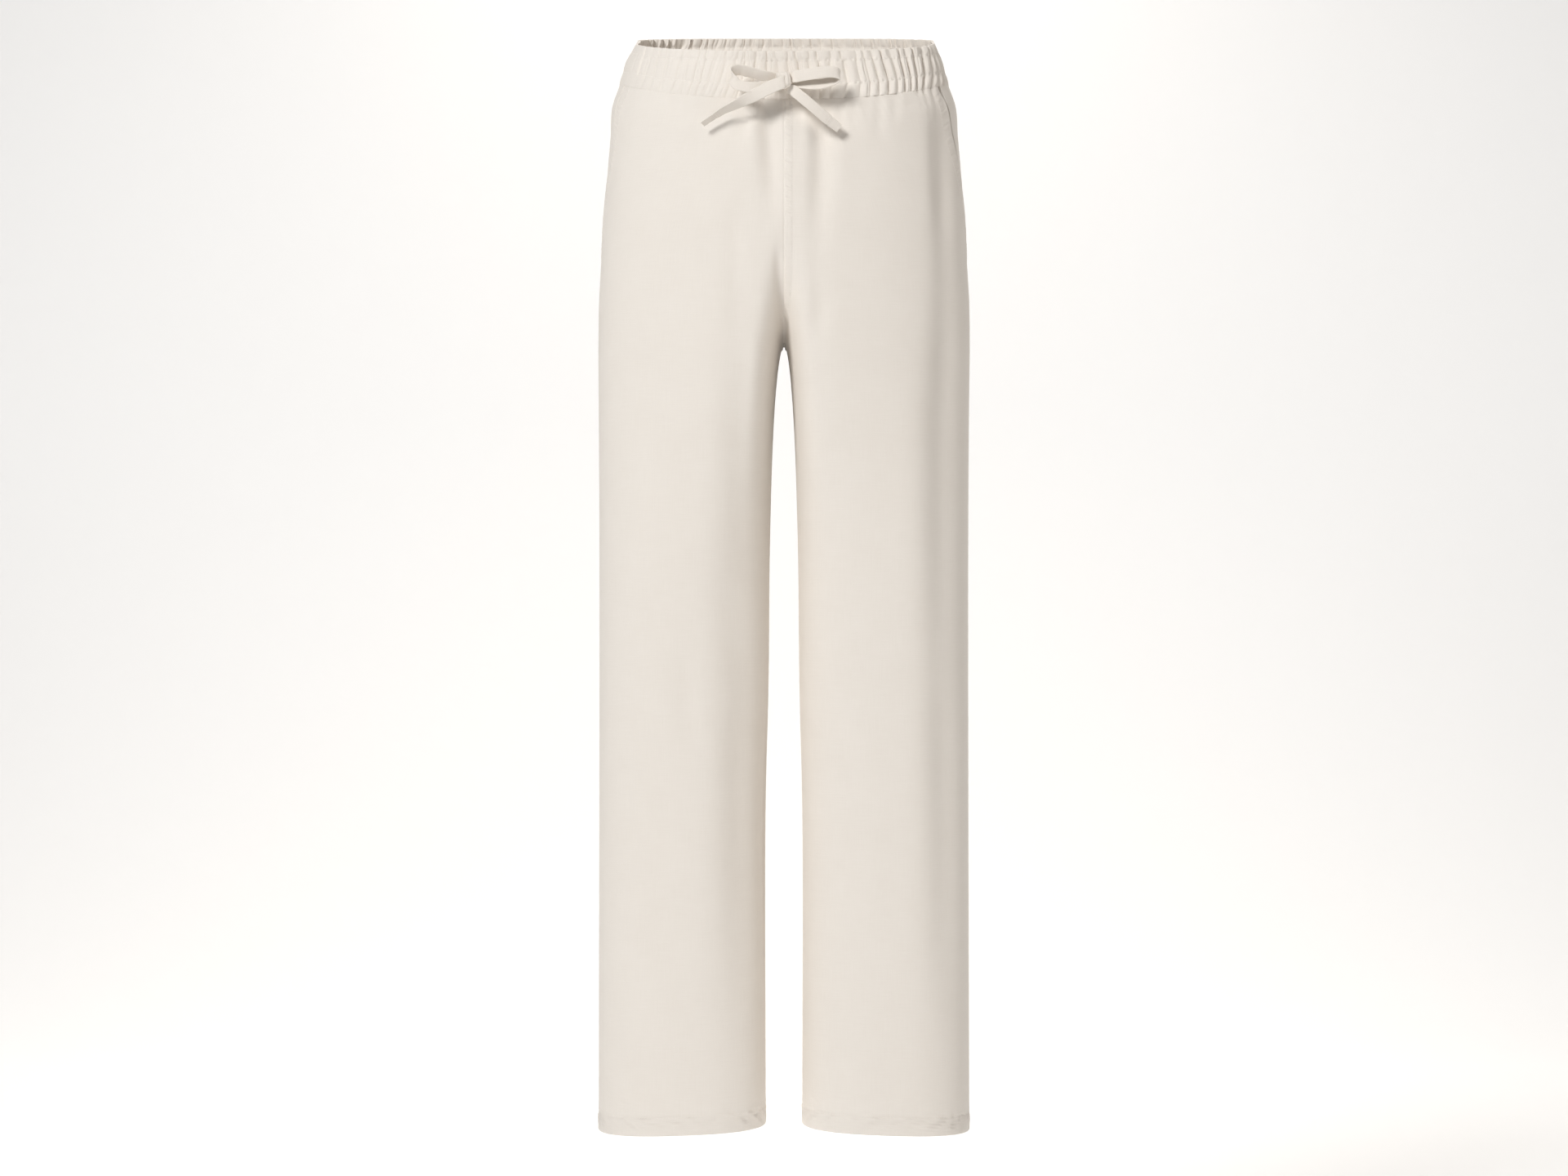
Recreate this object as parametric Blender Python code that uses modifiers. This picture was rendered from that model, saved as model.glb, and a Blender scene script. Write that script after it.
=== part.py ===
"""Wide-leg pull-on trousers in ecru twill, filled out and hanging from the waist.

Blender 4.5, metres, +Z up. The front faces -Y and +X is the wearer's left. The origin is the
middle of the waist opening, level with the middle of the waistband at the side seams.
Every panel is a wall of cloth on one common form: a torso ring down to the crotch, and below it
one ring for each leg. The form's front and back are rounded arcs over the same widths, so that
upright lines of the cloth stay upright, and near the crotch the torso's arc turns into the leg's.
"""

import math

import bpy
import mathutils
import numpy as np

GARMENT = "wide_leg_trousers"

# Cloth and seams
CLOTH = 0.0013  # wall of one layer
SEAM_GAP = 0.0003  # left between neighbouring pieces
HEM_CLOTH = 0.0026  # wall where the hem is turned up

# Levels at the side seams
SEAM_Z = -0.0220  # waist seam, between band and panels
CROTCH_Z = -0.2740  # where the four panels meet between the legs
CROTCH_RISE = 0.1200  # height over which the torso parts into two legs
HEM_Z = -1.0405
HEM_STITCH_Z = -1.0230  # line that holds the turned-up hem
HEM_LIFT = 0.0055  # how much higher the hem is at the inseam
HEM_LIFT_FROM = -0.85

# The waist is worn lower in front. The top edge tilts evenly; the waist seam stays level at the
# sides and dips towards the middle, and below it the dip fades out.
WAIST_TILT = 0.213  # rise for each metre back
WAIST_DIP = 1.97  # rise for each square metre back
WAIST_SAG = 0.24  # what both lose for each square metre from the sides
BAND_TOP_Z = 0.0230
TILT_END_Z = -0.200

# Roundness of the rings, as superellipse exponents
TORSO_ROUND = 2.5
LEG_ROUND = 2.5
FORK_ROUND = 2.5  # where a leg turns in to the crotch seam
FORK_REACH = 0.035  # width in X of that turn
THIGH_TOP_Z = -0.250  # from here down, the torso's arc becomes the leg's own
THIGH_END_Z = -0.560

# Rings of the form. half: seam to middle in X; front, back: depth from the side seam in Y
RINGS = (
    # z, half, front, back
    (0.0230, 0.1485, 0.1055, 0.1055),
    (-0.0220, 0.1612, 0.1085, 0.1095),
    (-0.0400, 0.1675, 0.1100, 0.1130),
    (-0.0720, 0.1698, 0.1110, 0.1175),
    (-0.1100, 0.1730, 0.1110, 0.1220),
    (-0.1520, 0.1765, 0.1100, 0.1250),
    (-0.2000, 0.1790, 0.1080, 0.1250),
    (-0.2320, 0.1808, 0.1065, 0.1225),
    (-0.2740, 0.1815, 0.1045, 0.1180),
    (-0.3360, 0.1812, 0.1000, 0.1100),
    (-0.4320, 0.1806, 0.0905, 0.0960),
    (-0.5760, 0.1804, 0.0795, 0.0815),
    (-0.7200, 0.1806, 0.0735, 0.0750),
    (-0.9000, 0.1810, 0.0710, 0.0715),
    (-1.0405, 0.1812, 0.0700, 0.0700),
)
LEG_PARTING = (
    # drop below the crotch, half of the space between the legs
    (0.0000, 0.0000),
    (0.0060, 0.0027),
    (0.0140, 0.0043),
    (0.0620, 0.0091),
    (0.1100, 0.0115),
    (0.2060, 0.0139),
    (0.3500, 0.0155),
    (0.4200, 0.0174),
    (0.7665, 0.0179),
)

# Folds. x: place at the top; lean: drift in X for each metre down; width: half width of the fold
FOLD_FOOT = 0.6  # share of a fold's height over which its depth fades to the bottom
FOLD_HEAD = (0.1, 0.4)  # shares of its height between which its depth grows
FRONT_FOLDS = (
    # x, lean, top, bottom, width, depth
    (-0.1060, 0.00, -0.045, -0.072, 0.0060, 0.0009),
    (-0.0920, 0.05, -0.045, -0.070, 0.0055, 0.0009),
    (-0.0330, -0.30, -0.052, -0.092, 0.0100, 0.0020),
    (-0.0165, 0.06, -0.045, -0.160, 0.0100, 0.0060),
    (0.0385, -0.04, -0.045, -0.185, 0.0100, 0.0058),
    (0.0520, 0.10, -0.046, -0.085, 0.0060, 0.0018),
    (0.0640, 0.10, -0.046, -0.080, 0.0060, 0.0016),
    (0.0900, 0.05, -0.044, -0.078, 0.0070, 0.0011),
    (0.1440, 0.03, -0.030, -0.210, 0.0130, 0.0030),
    (-0.0520, -0.06, -0.330, -0.620, 0.0200, 0.0026),
    (-0.0900, 0.03, -0.590, -0.700, 0.0150, 0.0014),
    (0.1490, -0.02, -0.300, -0.640, 0.0170, 0.0024),
    (0.0750, 0.02, -0.700, -0.940, 0.0180, 0.0014),
)
BACK_FOLDS = (
    # x, lean, top, bottom, width, depth
    (-0.1180, 0.00, -0.005, -0.045, 0.0080, 0.0014),
    (-0.0860, 0.03, -0.003, -0.065, 0.0085, 0.0018),
    (-0.0540, -0.04, -0.002, -0.040, 0.0080, 0.0015),
    (-0.0210, 0.05, 0.000, -0.085, 0.0090, 0.0022),
    (0.0190, -0.05, 0.000, -0.075, 0.0090, 0.0020),
    (0.0480, 0.02, -0.002, -0.045, 0.0080, 0.0014),
    (0.0830, -0.02, -0.003, -0.080, 0.0085, 0.0019),
    (0.1140, 0.00, -0.005, -0.050, 0.0080, 0.0014),
    (-0.0900, -0.30, -0.285, -0.380, 0.0200, 0.0030),
    (0.0880, 0.30, -0.290, -0.370, 0.0200, 0.0028),
    (-0.0700, 0.05, -0.420, -0.800, 0.0200, 0.0024),
    (0.1220, -0.06, -0.450, -0.820, 0.0220, 0.0022),
)

# Rows of a panel, as levels at the side seam, top to bottom
HIP_ROWS = (-0.0300, -0.0420, -0.0580, -0.0840, -0.1140)
CROTCH_TURNS = (90.0, 72.0, 54.0, 36.0, 18.0, 0.0)  # degrees round the crotch curve
LEG_ROWS = (-0.2840, -0.3020, -0.3380, -0.3950, -0.4750, -0.5750, -0.6900, -0.8050, -0.9200)
HEM_STEP = 0.0018  # ramp from one layer to the turned-up hem

# Columns of a panel, from the side seam to the middle
FRONT_COLUMNS = 24
BACK_COLUMNS = 18
SIDE_BIAS = 0.25  # 0 spaces the columns evenly; more sets them closer at the side seam

# Slanted side pockets: how far the opening's edge lies in front of the side seam
POCKET_TOP_INSET = 0.0570
POCKET_END_INSET = 0.0020
POCKET_CURVE = 1.4  # 1 is a straight slant; more bows the edge forward
POCKET_END_Z = -0.1911
POCKET_LIFT = 0.0006  # how far the edge stands off the bearer halfway down
POCKET_LIFT_REACH = 0.012
BEARER_ROWS = 8  # the panels' rows from the waist seam to the pocket's end
BEARER_SHARES = (0.0, 0.35, 0.7)  # of the way to the pocket's edge, for its open columns
BEARER_COLUMNS = 2  # panel columns that the bearer runs on under the front
BEARER_CLOTH = 0.0012
BEARER_GAP = 0.0006  # under the front panel

# Gathered waistband
FRONT_GATHERS = 42
BACK_GATHERS = 42
PLEAT_WAVE = (1.0, 0.30, -1.0, 0.30)  # ridge, flank, valley, flank of one gather
GATHER_DRIFT = ((0.42, 11.3, 0.6), (0.16, 29.0, 2.1))  # how far, how often, start of each swing
GATHER_UNEVEN = (0.28, 2.39, 0.8)  # share, step and start of the change in height
FINE_STEPS = 4000  # for reading places along the band
BAND_OUTSIDE = (
    # height above the waist seam, bulge, gather height
    (0.00015, 0.0000, 0.0003),
    (0.0068, 0.0009, 0.0012),
    (0.0136, 0.0001, 0.0006),
    (0.0250, 0.0015, 0.0018),
    (0.0360, 0.0001, 0.0006),
    (0.0450, 0.0008, 0.0014),
)
BAND_INSIDE = (
    # height above the waist seam, depth below the form, gather height
    (0.0450, 0.0011, 0.0015),
    (0.0360, 0.0018, -0.0004),
    (0.0250, 0.0026, -0.0006),
    (0.00015, 0.0022, 0.0),
)
FRONT_FULLNESS = (
    # place from the wearer's right side seam (-1) to the left (1), share of the gather height
    (-1.00, 0.02),
    (-0.90, 0.05),
    (-0.76, 0.12),
    (-0.40, 0.38),
    (-0.10, 0.65),
    (0.20, 0.95),
    (0.45, 1.20),
    (0.80, 1.20),
    (0.90, 0.50),
    (1.00, 0.05),
)
BACK_FULLNESS = ((-1.0, 0.05), (-0.93, 0.8), (-0.3, 0.95), (0.3, 0.9), (0.93, 0.85), (1.0, 0.05))

# The tie: a flat band of the same cloth, in a bow at the middle of the front
TIE_THICK = 0.0016
TAPE_SECTION = ((-0.5, 0.0), (-0.42, 0.5), (0.42, 0.5), (0.5, 0.0), (0.42, -0.5), (-0.42, -0.5))
TIE_ROUTES = {
    # x, y, z, width of the band, degrees that its width is turned from upright
    "tie_loop_right": (
        (-0.0118, -0.1268, -0.0306, 0.0098, 10.0),
        (-0.0180, -0.1285, -0.0292, 0.0102, 12.0),
        (-0.0320, -0.1290, -0.0258, 0.0102, 15.0),
        (-0.0430, -0.1275, -0.0236, 0.0100, 20.0),
        (-0.0502, -0.1245, -0.0258, 0.0100, 45.0),
        (-0.0465, -0.1228, -0.0312, 0.0098, 72.0),
        (-0.0370, -0.1225, -0.0334, 0.0096, 80.0),
        (-0.0250, -0.1225, -0.0348, 0.0094, 80.0),
        (-0.0170, -0.1220, -0.0352, 0.0090, 70.0),
        (-0.0118, -0.1215, -0.0350, 0.0086, 60.0),
    ),
    "tie_loop_left": (
        (0.0088, -0.1275, -0.0300, 0.0102, 5.0),
        (0.0200, -0.1300, -0.0292, 0.0106, 8.0),
        (0.0350, -0.1305, -0.0276, 0.0104, 10.0),
        (0.0450, -0.1290, -0.0266, 0.0102, 16.0),
        (0.0520, -0.1255, -0.0292, 0.0100, 40.0),
        (0.0478, -0.1228, -0.0346, 0.0098, 62.0),
        (0.0360, -0.1220, -0.0382, 0.0096, 66.0),
        (0.0220, -0.1220, -0.0376, 0.0094, 68.0),
        (0.0088, -0.1220, -0.0354, 0.0088, 60.0),
    ),
    "tie_tail_right": (
        (-0.0096, -0.1280, -0.0408, 0.0084, 0.0),
        (-0.0200, -0.1280, -0.0450, 0.0090, 0.0),
        (-0.0400, -0.1245, -0.0546, 0.0084, 0.0),
        (-0.0600, -0.1208, -0.0642, 0.0074, 5.0),
        (-0.0775, -0.1182, -0.0728, 0.0060, 15.0),
    ),
    "tie_tail_left": (
        (0.0060, -0.1278, -0.0402, 0.0088, 0.0),
        (0.0150, -0.1284, -0.0478, 0.0092, 0.0),
        (0.0290, -0.1258, -0.0592, 0.0092, 0.0),
        (0.0450, -0.1218, -0.0720, 0.0092, 0.0),
        (0.0625, -0.1188, -0.0852, 0.0090, -5.0),
    ),
}
LOOP_SAMPLES = 23
TAIL_SAMPLES = 12
KNOT_CENTRE = (-0.0012, -0.1208, -0.0316)
KNOT_SIZE = (0.0188, 0.0224, 0.0162)
KNOT_ROUNDING = 0.0045
KNOT_SEGMENTS = 4  # of that rounding

# Finish
ECRU = (0.80, 0.76, 0.70, 1.0)
ECRU_SHADE = (0.74, 0.70, 0.64, 1.0)
CLOTH_ROUGHNESS = 0.85
CREASE_DEGREES = 50  # an edge that turns more than this is shaded sharp


def smooth_between(start, end, at):
    """0 at start, 1 at end, with level ends."""
    share = np.clip((at - start) / (end - start), 0.0, 1.0)
    return share * share * (3.0 - 2.0 * share)


def through(rows, column, at):
    """A smooth curve through a table's rows, read at places in its first column."""
    table = np.array(sorted(rows))
    places, values = table[:, 0], table[:, column]
    slopes = np.gradient(values, places)
    low = np.clip(np.searchsorted(places, at) - 1, 0, len(places) - 2)
    span = places[low + 1] - places[low]
    u = np.clip((at - places[low]) / span, 0.0, 1.0)
    start = values[low] * (1 + 2 * u) * (1 - u) ** 2 + slopes[low] * span * u * (1 - u) ** 2
    end = values[low + 1] * u * u * (3 - 2 * u) - slopes[low + 1] * span * u * u * (1 - u)
    return start + end


def leg_parting(z):
    """Half of the space between the legs: it opens like an arch under the crotch."""
    roots = tuple((math.sqrt(drop), space) for drop, space in LEG_PARTING)
    drop = np.maximum(CROTCH_Z - z, 0.0)
    return SEAM_GAP / 2 + through(roots, 1, np.sqrt(drop))


def arc(across, roundness):
    """Height of a superellipse's arc at a share of the way from its middle to its end."""
    return (1 - np.clip(across, 0.0, 1.0) ** roundness) ** (1 / roundness)


def form(side, t, z):
    """Points of one half of the form (x > 0). side: -1 front, 1 back. t: 0 side seam, 1 middle."""
    t, z = np.broadcast_arrays(np.clip(t, 0.0, 1.0), z)
    half = through(RINGS, 1, z)
    depth = through(RINGS, 2 if side < 0 else 3, z)
    inner = leg_parting(z)
    share = np.cos(np.pi * t / 2) ** 2
    x = inner + (half - inner) * share
    rise = np.clip((z - CROTCH_Z) / CROTCH_RISE, 0.0, 1.0)
    from_crotch = np.hypot((x - inner) / FORK_REACH, rise)
    fork = arc(1 - np.clip(from_crotch, 0.0, 1.0), FORK_ROUND)
    torso = arc(x / half, TORSO_ROUND) * fork
    leg = arc(np.abs(np.cos(np.pi * t)), LEG_ROUND)
    leg_share = smooth_between(THIGH_TOP_Z, THIGH_END_Z, z)
    y = side * depth * (torso + leg_share * (leg - torso))
    dipped = smooth_between(BAND_TOP_Z, SEAM_Z, z)
    slope = (1 - dipped) * WAIST_TILT * y + dipped * WAIST_DIP * y * np.abs(y)
    tilt = smooth_between(TILT_END_Z, SEAM_Z, z) * (slope - WAIST_SAG * y * y)
    lift = HEM_LIFT * (1 - share) * smooth_between(HEM_LIFT_FROM, HEM_STITCH_Z, z)
    return np.stack([x, y, z + tilt + lift], axis=-1)


def form_normals(side, t, z, step_t=1e-4, step_z=2e-4):
    """Outward unit normals of the form at the same places."""
    along = form(side, t + step_t, z) - form(side, t - step_t, z)
    up = form(side, t, z + step_z) - form(side, t, z - step_z)
    normal = np.cross(along, up) * side
    return normal / np.linalg.norm(normal, axis=-1, keepdims=True)


def level(normals):
    """The same directions turned level, for the ends that meet at the waist seam."""
    flat = normals * (1.0, 1.0, 0.0)
    return flat / np.linalg.norm(flat, axis=-1, keepdims=True)


def fold_depth(folds, points):
    """How far the folds of a table draw the cloth in at each point."""
    x, z = points[..., 0], points[..., 2]
    depth = np.zeros_like(x)
    for place, lean, top, bottom, width, deep in folds:
        middle = place + lean * (top - z)
        reach = top - bottom
        fade = smooth_between(bottom, bottom + FOLD_FOOT * reach, z)
        fade = fade * smooth_between(top - FOLD_HEAD[0] * reach, top - FOLD_HEAD[1] * reach, z)
        depth += deep * np.exp(-(((x - middle) / width) ** 2)) * fade
    return depth


def t_at_inset(side, inset, z):
    """t of the point whose depth in front of (or behind) the side seam is inset."""
    depth = through(RINGS, 2 if side < 0 else 3, z)
    across = (1 - (inset / depth) ** TORSO_ROUND) ** (1 / TORSO_ROUND)
    return 2 / np.pi * np.arccos(np.sqrt(across))


def pocket_edge(z):
    """Depth of the pocket's edge in front of the side seam: a bowed slant that ends in the seam."""
    top, end = POCKET_TOP_INSET, POCKET_END_INSET
    down = np.clip((SEAM_Z - z) / (SEAM_Z - POCKET_END_Z), 0.0, 1.0)
    inset = end + (top - end) * (1 - down**POCKET_CURVE)
    return np.where(z >= POCKET_END_Z, inset, 0.0)


def panel_rows():
    """Levels of a panel's rows, top to bottom."""
    turns = [CROTCH_Z + CROTCH_RISE * (1 - math.cos(math.radians(a))) for a in CROTCH_TURNS]
    hem = [HEM_STITCH_Z + HEM_STEP, HEM_STITCH_Z, HEM_Z]
    return np.array([SEAM_Z, *HIP_ROWS, *turns, *LEG_ROWS, *hem])


def panel_grid(side, columns):
    """(t, z) of a panel's points. The front's side edge follows the pocket."""
    z = panel_rows()[:, None]
    start = t_at_inset(side, pocket_edge(z), z) if side < 0 else np.zeros_like(z)
    u = np.linspace(0.0, 1.0, columns + 1)[None, :]
    even = (1 - SIDE_BIAS) * u + SIDE_BIAS * u * u
    return start + (1 - start) * even, z + np.zeros_like(u)


def place(points, side, mirrored):
    """Sets a half's points on their side of the seams."""
    moved = points + np.array([0.0, side * SEAM_GAP / 2, 0.0])
    moved[0, :, 2] -= SEAM_GAP / 2
    return moved * (-1.0, 1.0, 1.0) if mirrored else moved


def panel_points(side, columns, mirrored):
    """Outer and inner points of a front or back panel."""
    t, z = panel_grid(side, columns)
    points = form(side, t, z)
    normals = form_normals(side, t, z)
    normals[0] = level(normals[0])
    mirror = np.array([-1.0, 1.0, 1.0]) if mirrored else np.ones(3)
    folds = FRONT_FOLDS if side < 0 else BACK_FOLDS
    out = -fold_depth(folds, points * mirror)
    if side < 0:
        from_edge = np.linalg.norm(points - points[:, :1], axis=-1)
        down = np.clip((SEAM_Z - z) / (SEAM_Z - POCKET_END_Z), 0.0, 1.0)
        reach = np.exp(-((from_edge / POCKET_LIFT_REACH) ** 2))
        out = out + POCKET_LIFT * np.sin(np.pi * down) * reach
    outer = points + normals * out[..., None]
    wall = np.where(z[:, :1] <= HEM_STITCH_Z, HEM_CLOTH, CLOTH)
    inner = outer - normals * wall[..., None]
    inner[..., 0] = np.maximum(inner[..., 0], SEAM_GAP / 2)
    return place(outer, side, mirrored), place(inner, side, mirrored)


def bearer_points(mirrored):
    """The pocket bearer: on the panels' own columns, one layer and a gap further in."""
    rows = BEARER_ROWS
    front_t, z = panel_grid(-1, FRONT_COLUMNS)
    back_t, _ = panel_grid(1, BACK_COLUMNS)
    z = z[:rows, :1]
    edge = front_t[:rows, :1]
    in_open = edge * np.array(BEARER_SHARES)[None, :]
    front = np.hstack([in_open, front_t[:rows, : BEARER_COLUMNS + 1]])
    columns = []
    for side, t in ((1, back_t[:rows, 1:2]), (-1, front)):
        level_z = z + np.zeros_like(t)
        points = form(side, t, level_z)
        normals = form_normals(side, t, level_z)
        normals[0] = level(normals[0])
        columns.append((place(points, side, mirrored), normals))
    points = np.hstack([columns[0][0], columns[1][0]])
    normals = np.hstack([columns[0][1], columns[1][1]])
    if mirrored:
        normals = normals * (-1.0, 1.0, 1.0)
    folded = fold_depth(FRONT_FOLDS, points) * (points[..., 1] < 0)
    outer = points - normals * (CLOTH + BEARER_GAP + folded[..., None])
    return outer, outer - normals * BEARER_CLOTH


def arc_places(side, shares):
    """t at shares of the way round the band from the side seam (0) to the middle (1)."""
    t = np.linspace(0.0, 1.0, FINE_STEPS + 1)
    points = form(side, t, np.zeros_like(t))
    steps = np.linalg.norm(np.diff(points, axis=0), axis=-1)
    length = np.concatenate([[0.0], np.cumsum(steps)])
    return np.interp(shares * length[-1], length, t)


def gather_columns(gathers):
    """Places (-1 to 1) of a band's columns, unevenly spaced as real gathers are, and their heights."""
    fine = np.linspace(-1.0, 1.0, FINE_STEPS + 1)
    count = gathers * (fine + 1) / 2
    for far, often, start in GATHER_DRIFT:
        count += far * np.sin(np.pi * fine) * np.sin(often * fine + start)
    order = np.arange(len(PLEAT_WAVE) * gathers + 1)
    places = np.interp(order / len(PLEAT_WAVE), count, fine)
    share, step, start = GATHER_UNEVEN
    uneven = 1.0 + share * np.sin(step * (order // len(PLEAT_WAVE)) + start)
    wave = np.array(PLEAT_WAVE)[order % len(PLEAT_WAVE)]
    return places, wave * uneven


def band_points(side, gathers, fullness):
    """Outer and inner points of half of the waistband, from one side seam to the other."""
    places, wave = gather_columns(gathers)
    wave = wave * through(fullness, 1, places)
    t = arc_places(side, 1 - np.abs(places))
    hand = np.where(places < 0, -1.0, 1.0)[:, None] * (1.0, 0.0, 0.0) + (0.0, 1.0, 1.0)
    mirror = hand[None, :, :]

    def rows(table, sign):
        heights = np.array([row[0] for row in table])[:, None]
        offset = sign * np.array([row[1] for row in table])[:, None]
        height = np.array([row[2] for row in table])[:, None]
        z = SEAM_Z + heights + np.zeros_like(t)[None, :]
        points = form(side, t[None, :] + np.zeros_like(z), z)
        normals = level(form_normals(side, t[None, :] + np.zeros_like(z), z))
        out = offset + height * wave[None, :]
        points = points + normals * out[..., None]
        points[..., 0] *= places[None, :] != 0
        return points * mirror + (0.0, side * SEAM_GAP / 2, 0.0)

    return rows(BAND_OUTSIDE, 1), rows(BAND_INSIDE, -1)[::-1]


def cloth_material(name, colour):
    """A plain woven finish."""
    made = bpy.data.materials.new(name)
    made.use_nodes = True
    shader = made.node_tree.nodes["Principled BSDF"]
    shader.inputs["Base Color"].default_value = colour
    shader.inputs["Roughness"].default_value = CLOTH_ROUGHNESS
    shader.inputs["Metallic"].default_value = 0.0
    return made


def add_mesh(name, vertices, faces, colour):
    """One named sub-part, with its own material, in the garment's collection."""
    mesh = bpy.data.meshes.new(name)
    mesh.from_pydata([tuple(v) for v in vertices], [], faces)
    mesh.validate()
    mesh.shade_smooth()
    mesh.set_sharp_from_angle(angle=math.radians(CREASE_DEGREES))
    mesh.materials.append(cloth_material(name, colour))
    part = bpy.data.objects.new(name, mesh)
    bpy.data.collections[GARMENT].objects.link(part)
    return part


def add_wall(name, outer, inner, flip, colour=ECRU):
    """A closed wall between two grids of points, (rows, columns, 3), that share their columns."""
    ring = np.concatenate([outer, inner[::-1]])
    count, columns = ring.shape[:2]
    index = np.arange(count * columns).reshape(count, columns)
    following = np.roll(index, -1, axis=0)
    corners = (index[:, :-1], following[:, :-1], following[:, 1:], index[:, 1:])
    faces = [tuple(f) for f in np.stack(corners, axis=-1).reshape(-1, 4).tolist()]
    if len(outer) == len(inner):
        last = count - 1
        for row in range(len(outer) - 1):
            start = [index[last - row, 0], index[last - row - 1, 0], index[row + 1, 0], index[row, 0]]
            end = [index[row, -1], index[row + 1, -1], index[last - row - 1, -1], index[last - row, -1]]
            faces += [tuple(int(i) for i in start), tuple(int(i) for i in end)]
    else:
        faces.append(tuple(index[::-1, 0].tolist()))
        faces.append(tuple(index[:, -1].tolist()))
    if flip:
        faces = [face[::-1] for face in faces]
    return add_mesh(name, ring.reshape(-1, 3), faces, colour)


def route_samples(route, count):
    """Evenly spaced centres, widths and turns on a smooth curve through a route's rows."""
    rows = np.array(route)
    steps = np.linalg.norm(np.diff(rows[:, :3], axis=0), axis=-1)
    places = np.concatenate([[0.0], np.cumsum(steps)])
    table = np.column_stack([places, rows]).tolist()
    at = np.linspace(0.0, places[-1], count)
    x, y, z, widths, turns = (through(table, column, at) for column in range(1, 6))
    return np.stack([x, y, z], axis=-1), widths, np.radians(turns)


def add_tape(name, route, count):
    """A flat band along a route."""
    centres, widths, turns = route_samples(route, count)
    along = np.gradient(centres, axis=0)
    along /= np.linalg.norm(along, axis=-1, keepdims=True)
    upright = np.array([0.0, 0.0, 1.0]) - along * along[:, 2:3]
    upright /= np.linalg.norm(upright, axis=-1, keepdims=True)
    sideways = np.cross(along, upright) * np.sign(-along[:, :1])
    upright = upright * np.cos(turns)[:, None] + sideways * np.sin(turns)[:, None]
    face = np.cross(along, upright)
    section = np.array(TAPE_SECTION)
    across = upright[:, None] * widths[:, None, None] * section[None, :, :1]
    depth = face[:, None] * TIE_THICK * section[None, :, 1:]
    points = centres[:, None] + across + depth
    sides = len(section)
    faces = []
    for ring in range(count - 1):
        for corner in range(sides):
            nearer = (corner + 1) % sides
            here, there = ring * sides, (ring + 1) * sides
            faces.append((here + corner, there + corner, there + nearer, here + nearer))
    faces.append(tuple(range(sides)))
    faces.append(tuple(range(count * sides - 1, (count - 1) * sides - 1, -1)))
    return add_mesh(name, points.reshape(-1, 3), faces, ECRU)


def add_knot():
    """The bow's knot: a rounded block that backs onto the band where the strands come out."""
    bpy.ops.mesh.primitive_cube_add(size=1.0, location=KNOT_CENTRE)
    knot = bpy.context.object
    knot.name = "tie_knot"
    knot.data.name = "tie_knot"
    knot.data.transform(mathutils.Matrix.Diagonal((*KNOT_SIZE, 1.0)))
    rounding = knot.modifiers.new("rounding", "BEVEL")
    rounding.width = KNOT_ROUNDING
    rounding.segments = KNOT_SEGMENTS
    knot.data.materials.append(cloth_material("tie_knot", ECRU))
    knot.data.shade_smooth()
    for owner in list(knot.users_collection):
        owner.objects.unlink(knot)
    bpy.data.collections[GARMENT].objects.link(knot)


def clear_scene():
    for old in list(bpy.data.objects):
        bpy.data.objects.remove(old, do_unlink=True)


def build():
    clear_scene()
    collection = bpy.data.collections.new(GARMENT)
    bpy.context.scene.collection.children.link(collection)
    for hand, mirrored in (("left", False), ("right", True)):
        outer, inner = panel_points(-1, FRONT_COLUMNS, mirrored)
        add_wall("front_" + hand, outer, inner, flip=not mirrored)
        outer, inner = panel_points(1, BACK_COLUMNS, mirrored)
        add_wall("back_" + hand, outer, inner, flip=mirrored)
        outer, inner = bearer_points(mirrored)
        add_wall("pocket_bearer_" + hand, outer, inner, flip=not mirrored, colour=ECRU_SHADE)
    outer, inner = band_points(-1, FRONT_GATHERS, FRONT_FULLNESS)
    add_wall("waistband_front", outer, inner, flip=True)
    outer, inner = band_points(1, BACK_GATHERS, BACK_FULLNESS)
    add_wall("waistband_back", outer, inner, flip=False)
    for name, route in TIE_ROUTES.items():
        add_tape(name, route, LOOP_SAMPLES if "loop" in name else TAIL_SAMPLES)
    add_knot()


build()
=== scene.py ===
"""Looks of wide-leg pull-on trousers in ecru twill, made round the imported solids.

Metres, +Z up. The front faces -Y and +X is the wearer's left. Every cloth piece is a thin wall on
the same form as its solid: rings that part into two legs at the crotch. The form's tables are
those of the solids, with a closer turn at the crotch and straighter pocket edges. On it lie
gathers, creases, seams, puckers and the turned-up hems.
"""

import functools
import math

import bpy
import numpy as np
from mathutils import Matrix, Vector


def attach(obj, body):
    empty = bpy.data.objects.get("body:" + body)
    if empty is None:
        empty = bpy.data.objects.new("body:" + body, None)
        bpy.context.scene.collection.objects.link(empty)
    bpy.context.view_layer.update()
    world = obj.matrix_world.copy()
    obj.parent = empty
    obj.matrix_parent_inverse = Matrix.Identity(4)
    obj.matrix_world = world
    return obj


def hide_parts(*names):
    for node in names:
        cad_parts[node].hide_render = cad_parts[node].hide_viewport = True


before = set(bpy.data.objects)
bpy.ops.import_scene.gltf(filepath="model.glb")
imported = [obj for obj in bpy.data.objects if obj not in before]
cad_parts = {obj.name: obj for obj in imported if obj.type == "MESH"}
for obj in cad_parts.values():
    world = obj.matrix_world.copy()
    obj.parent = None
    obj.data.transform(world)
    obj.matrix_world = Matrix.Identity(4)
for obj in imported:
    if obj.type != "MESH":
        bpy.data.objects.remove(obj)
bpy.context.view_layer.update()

BODY = "root"

# ---------- camera, floor and light

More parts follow.
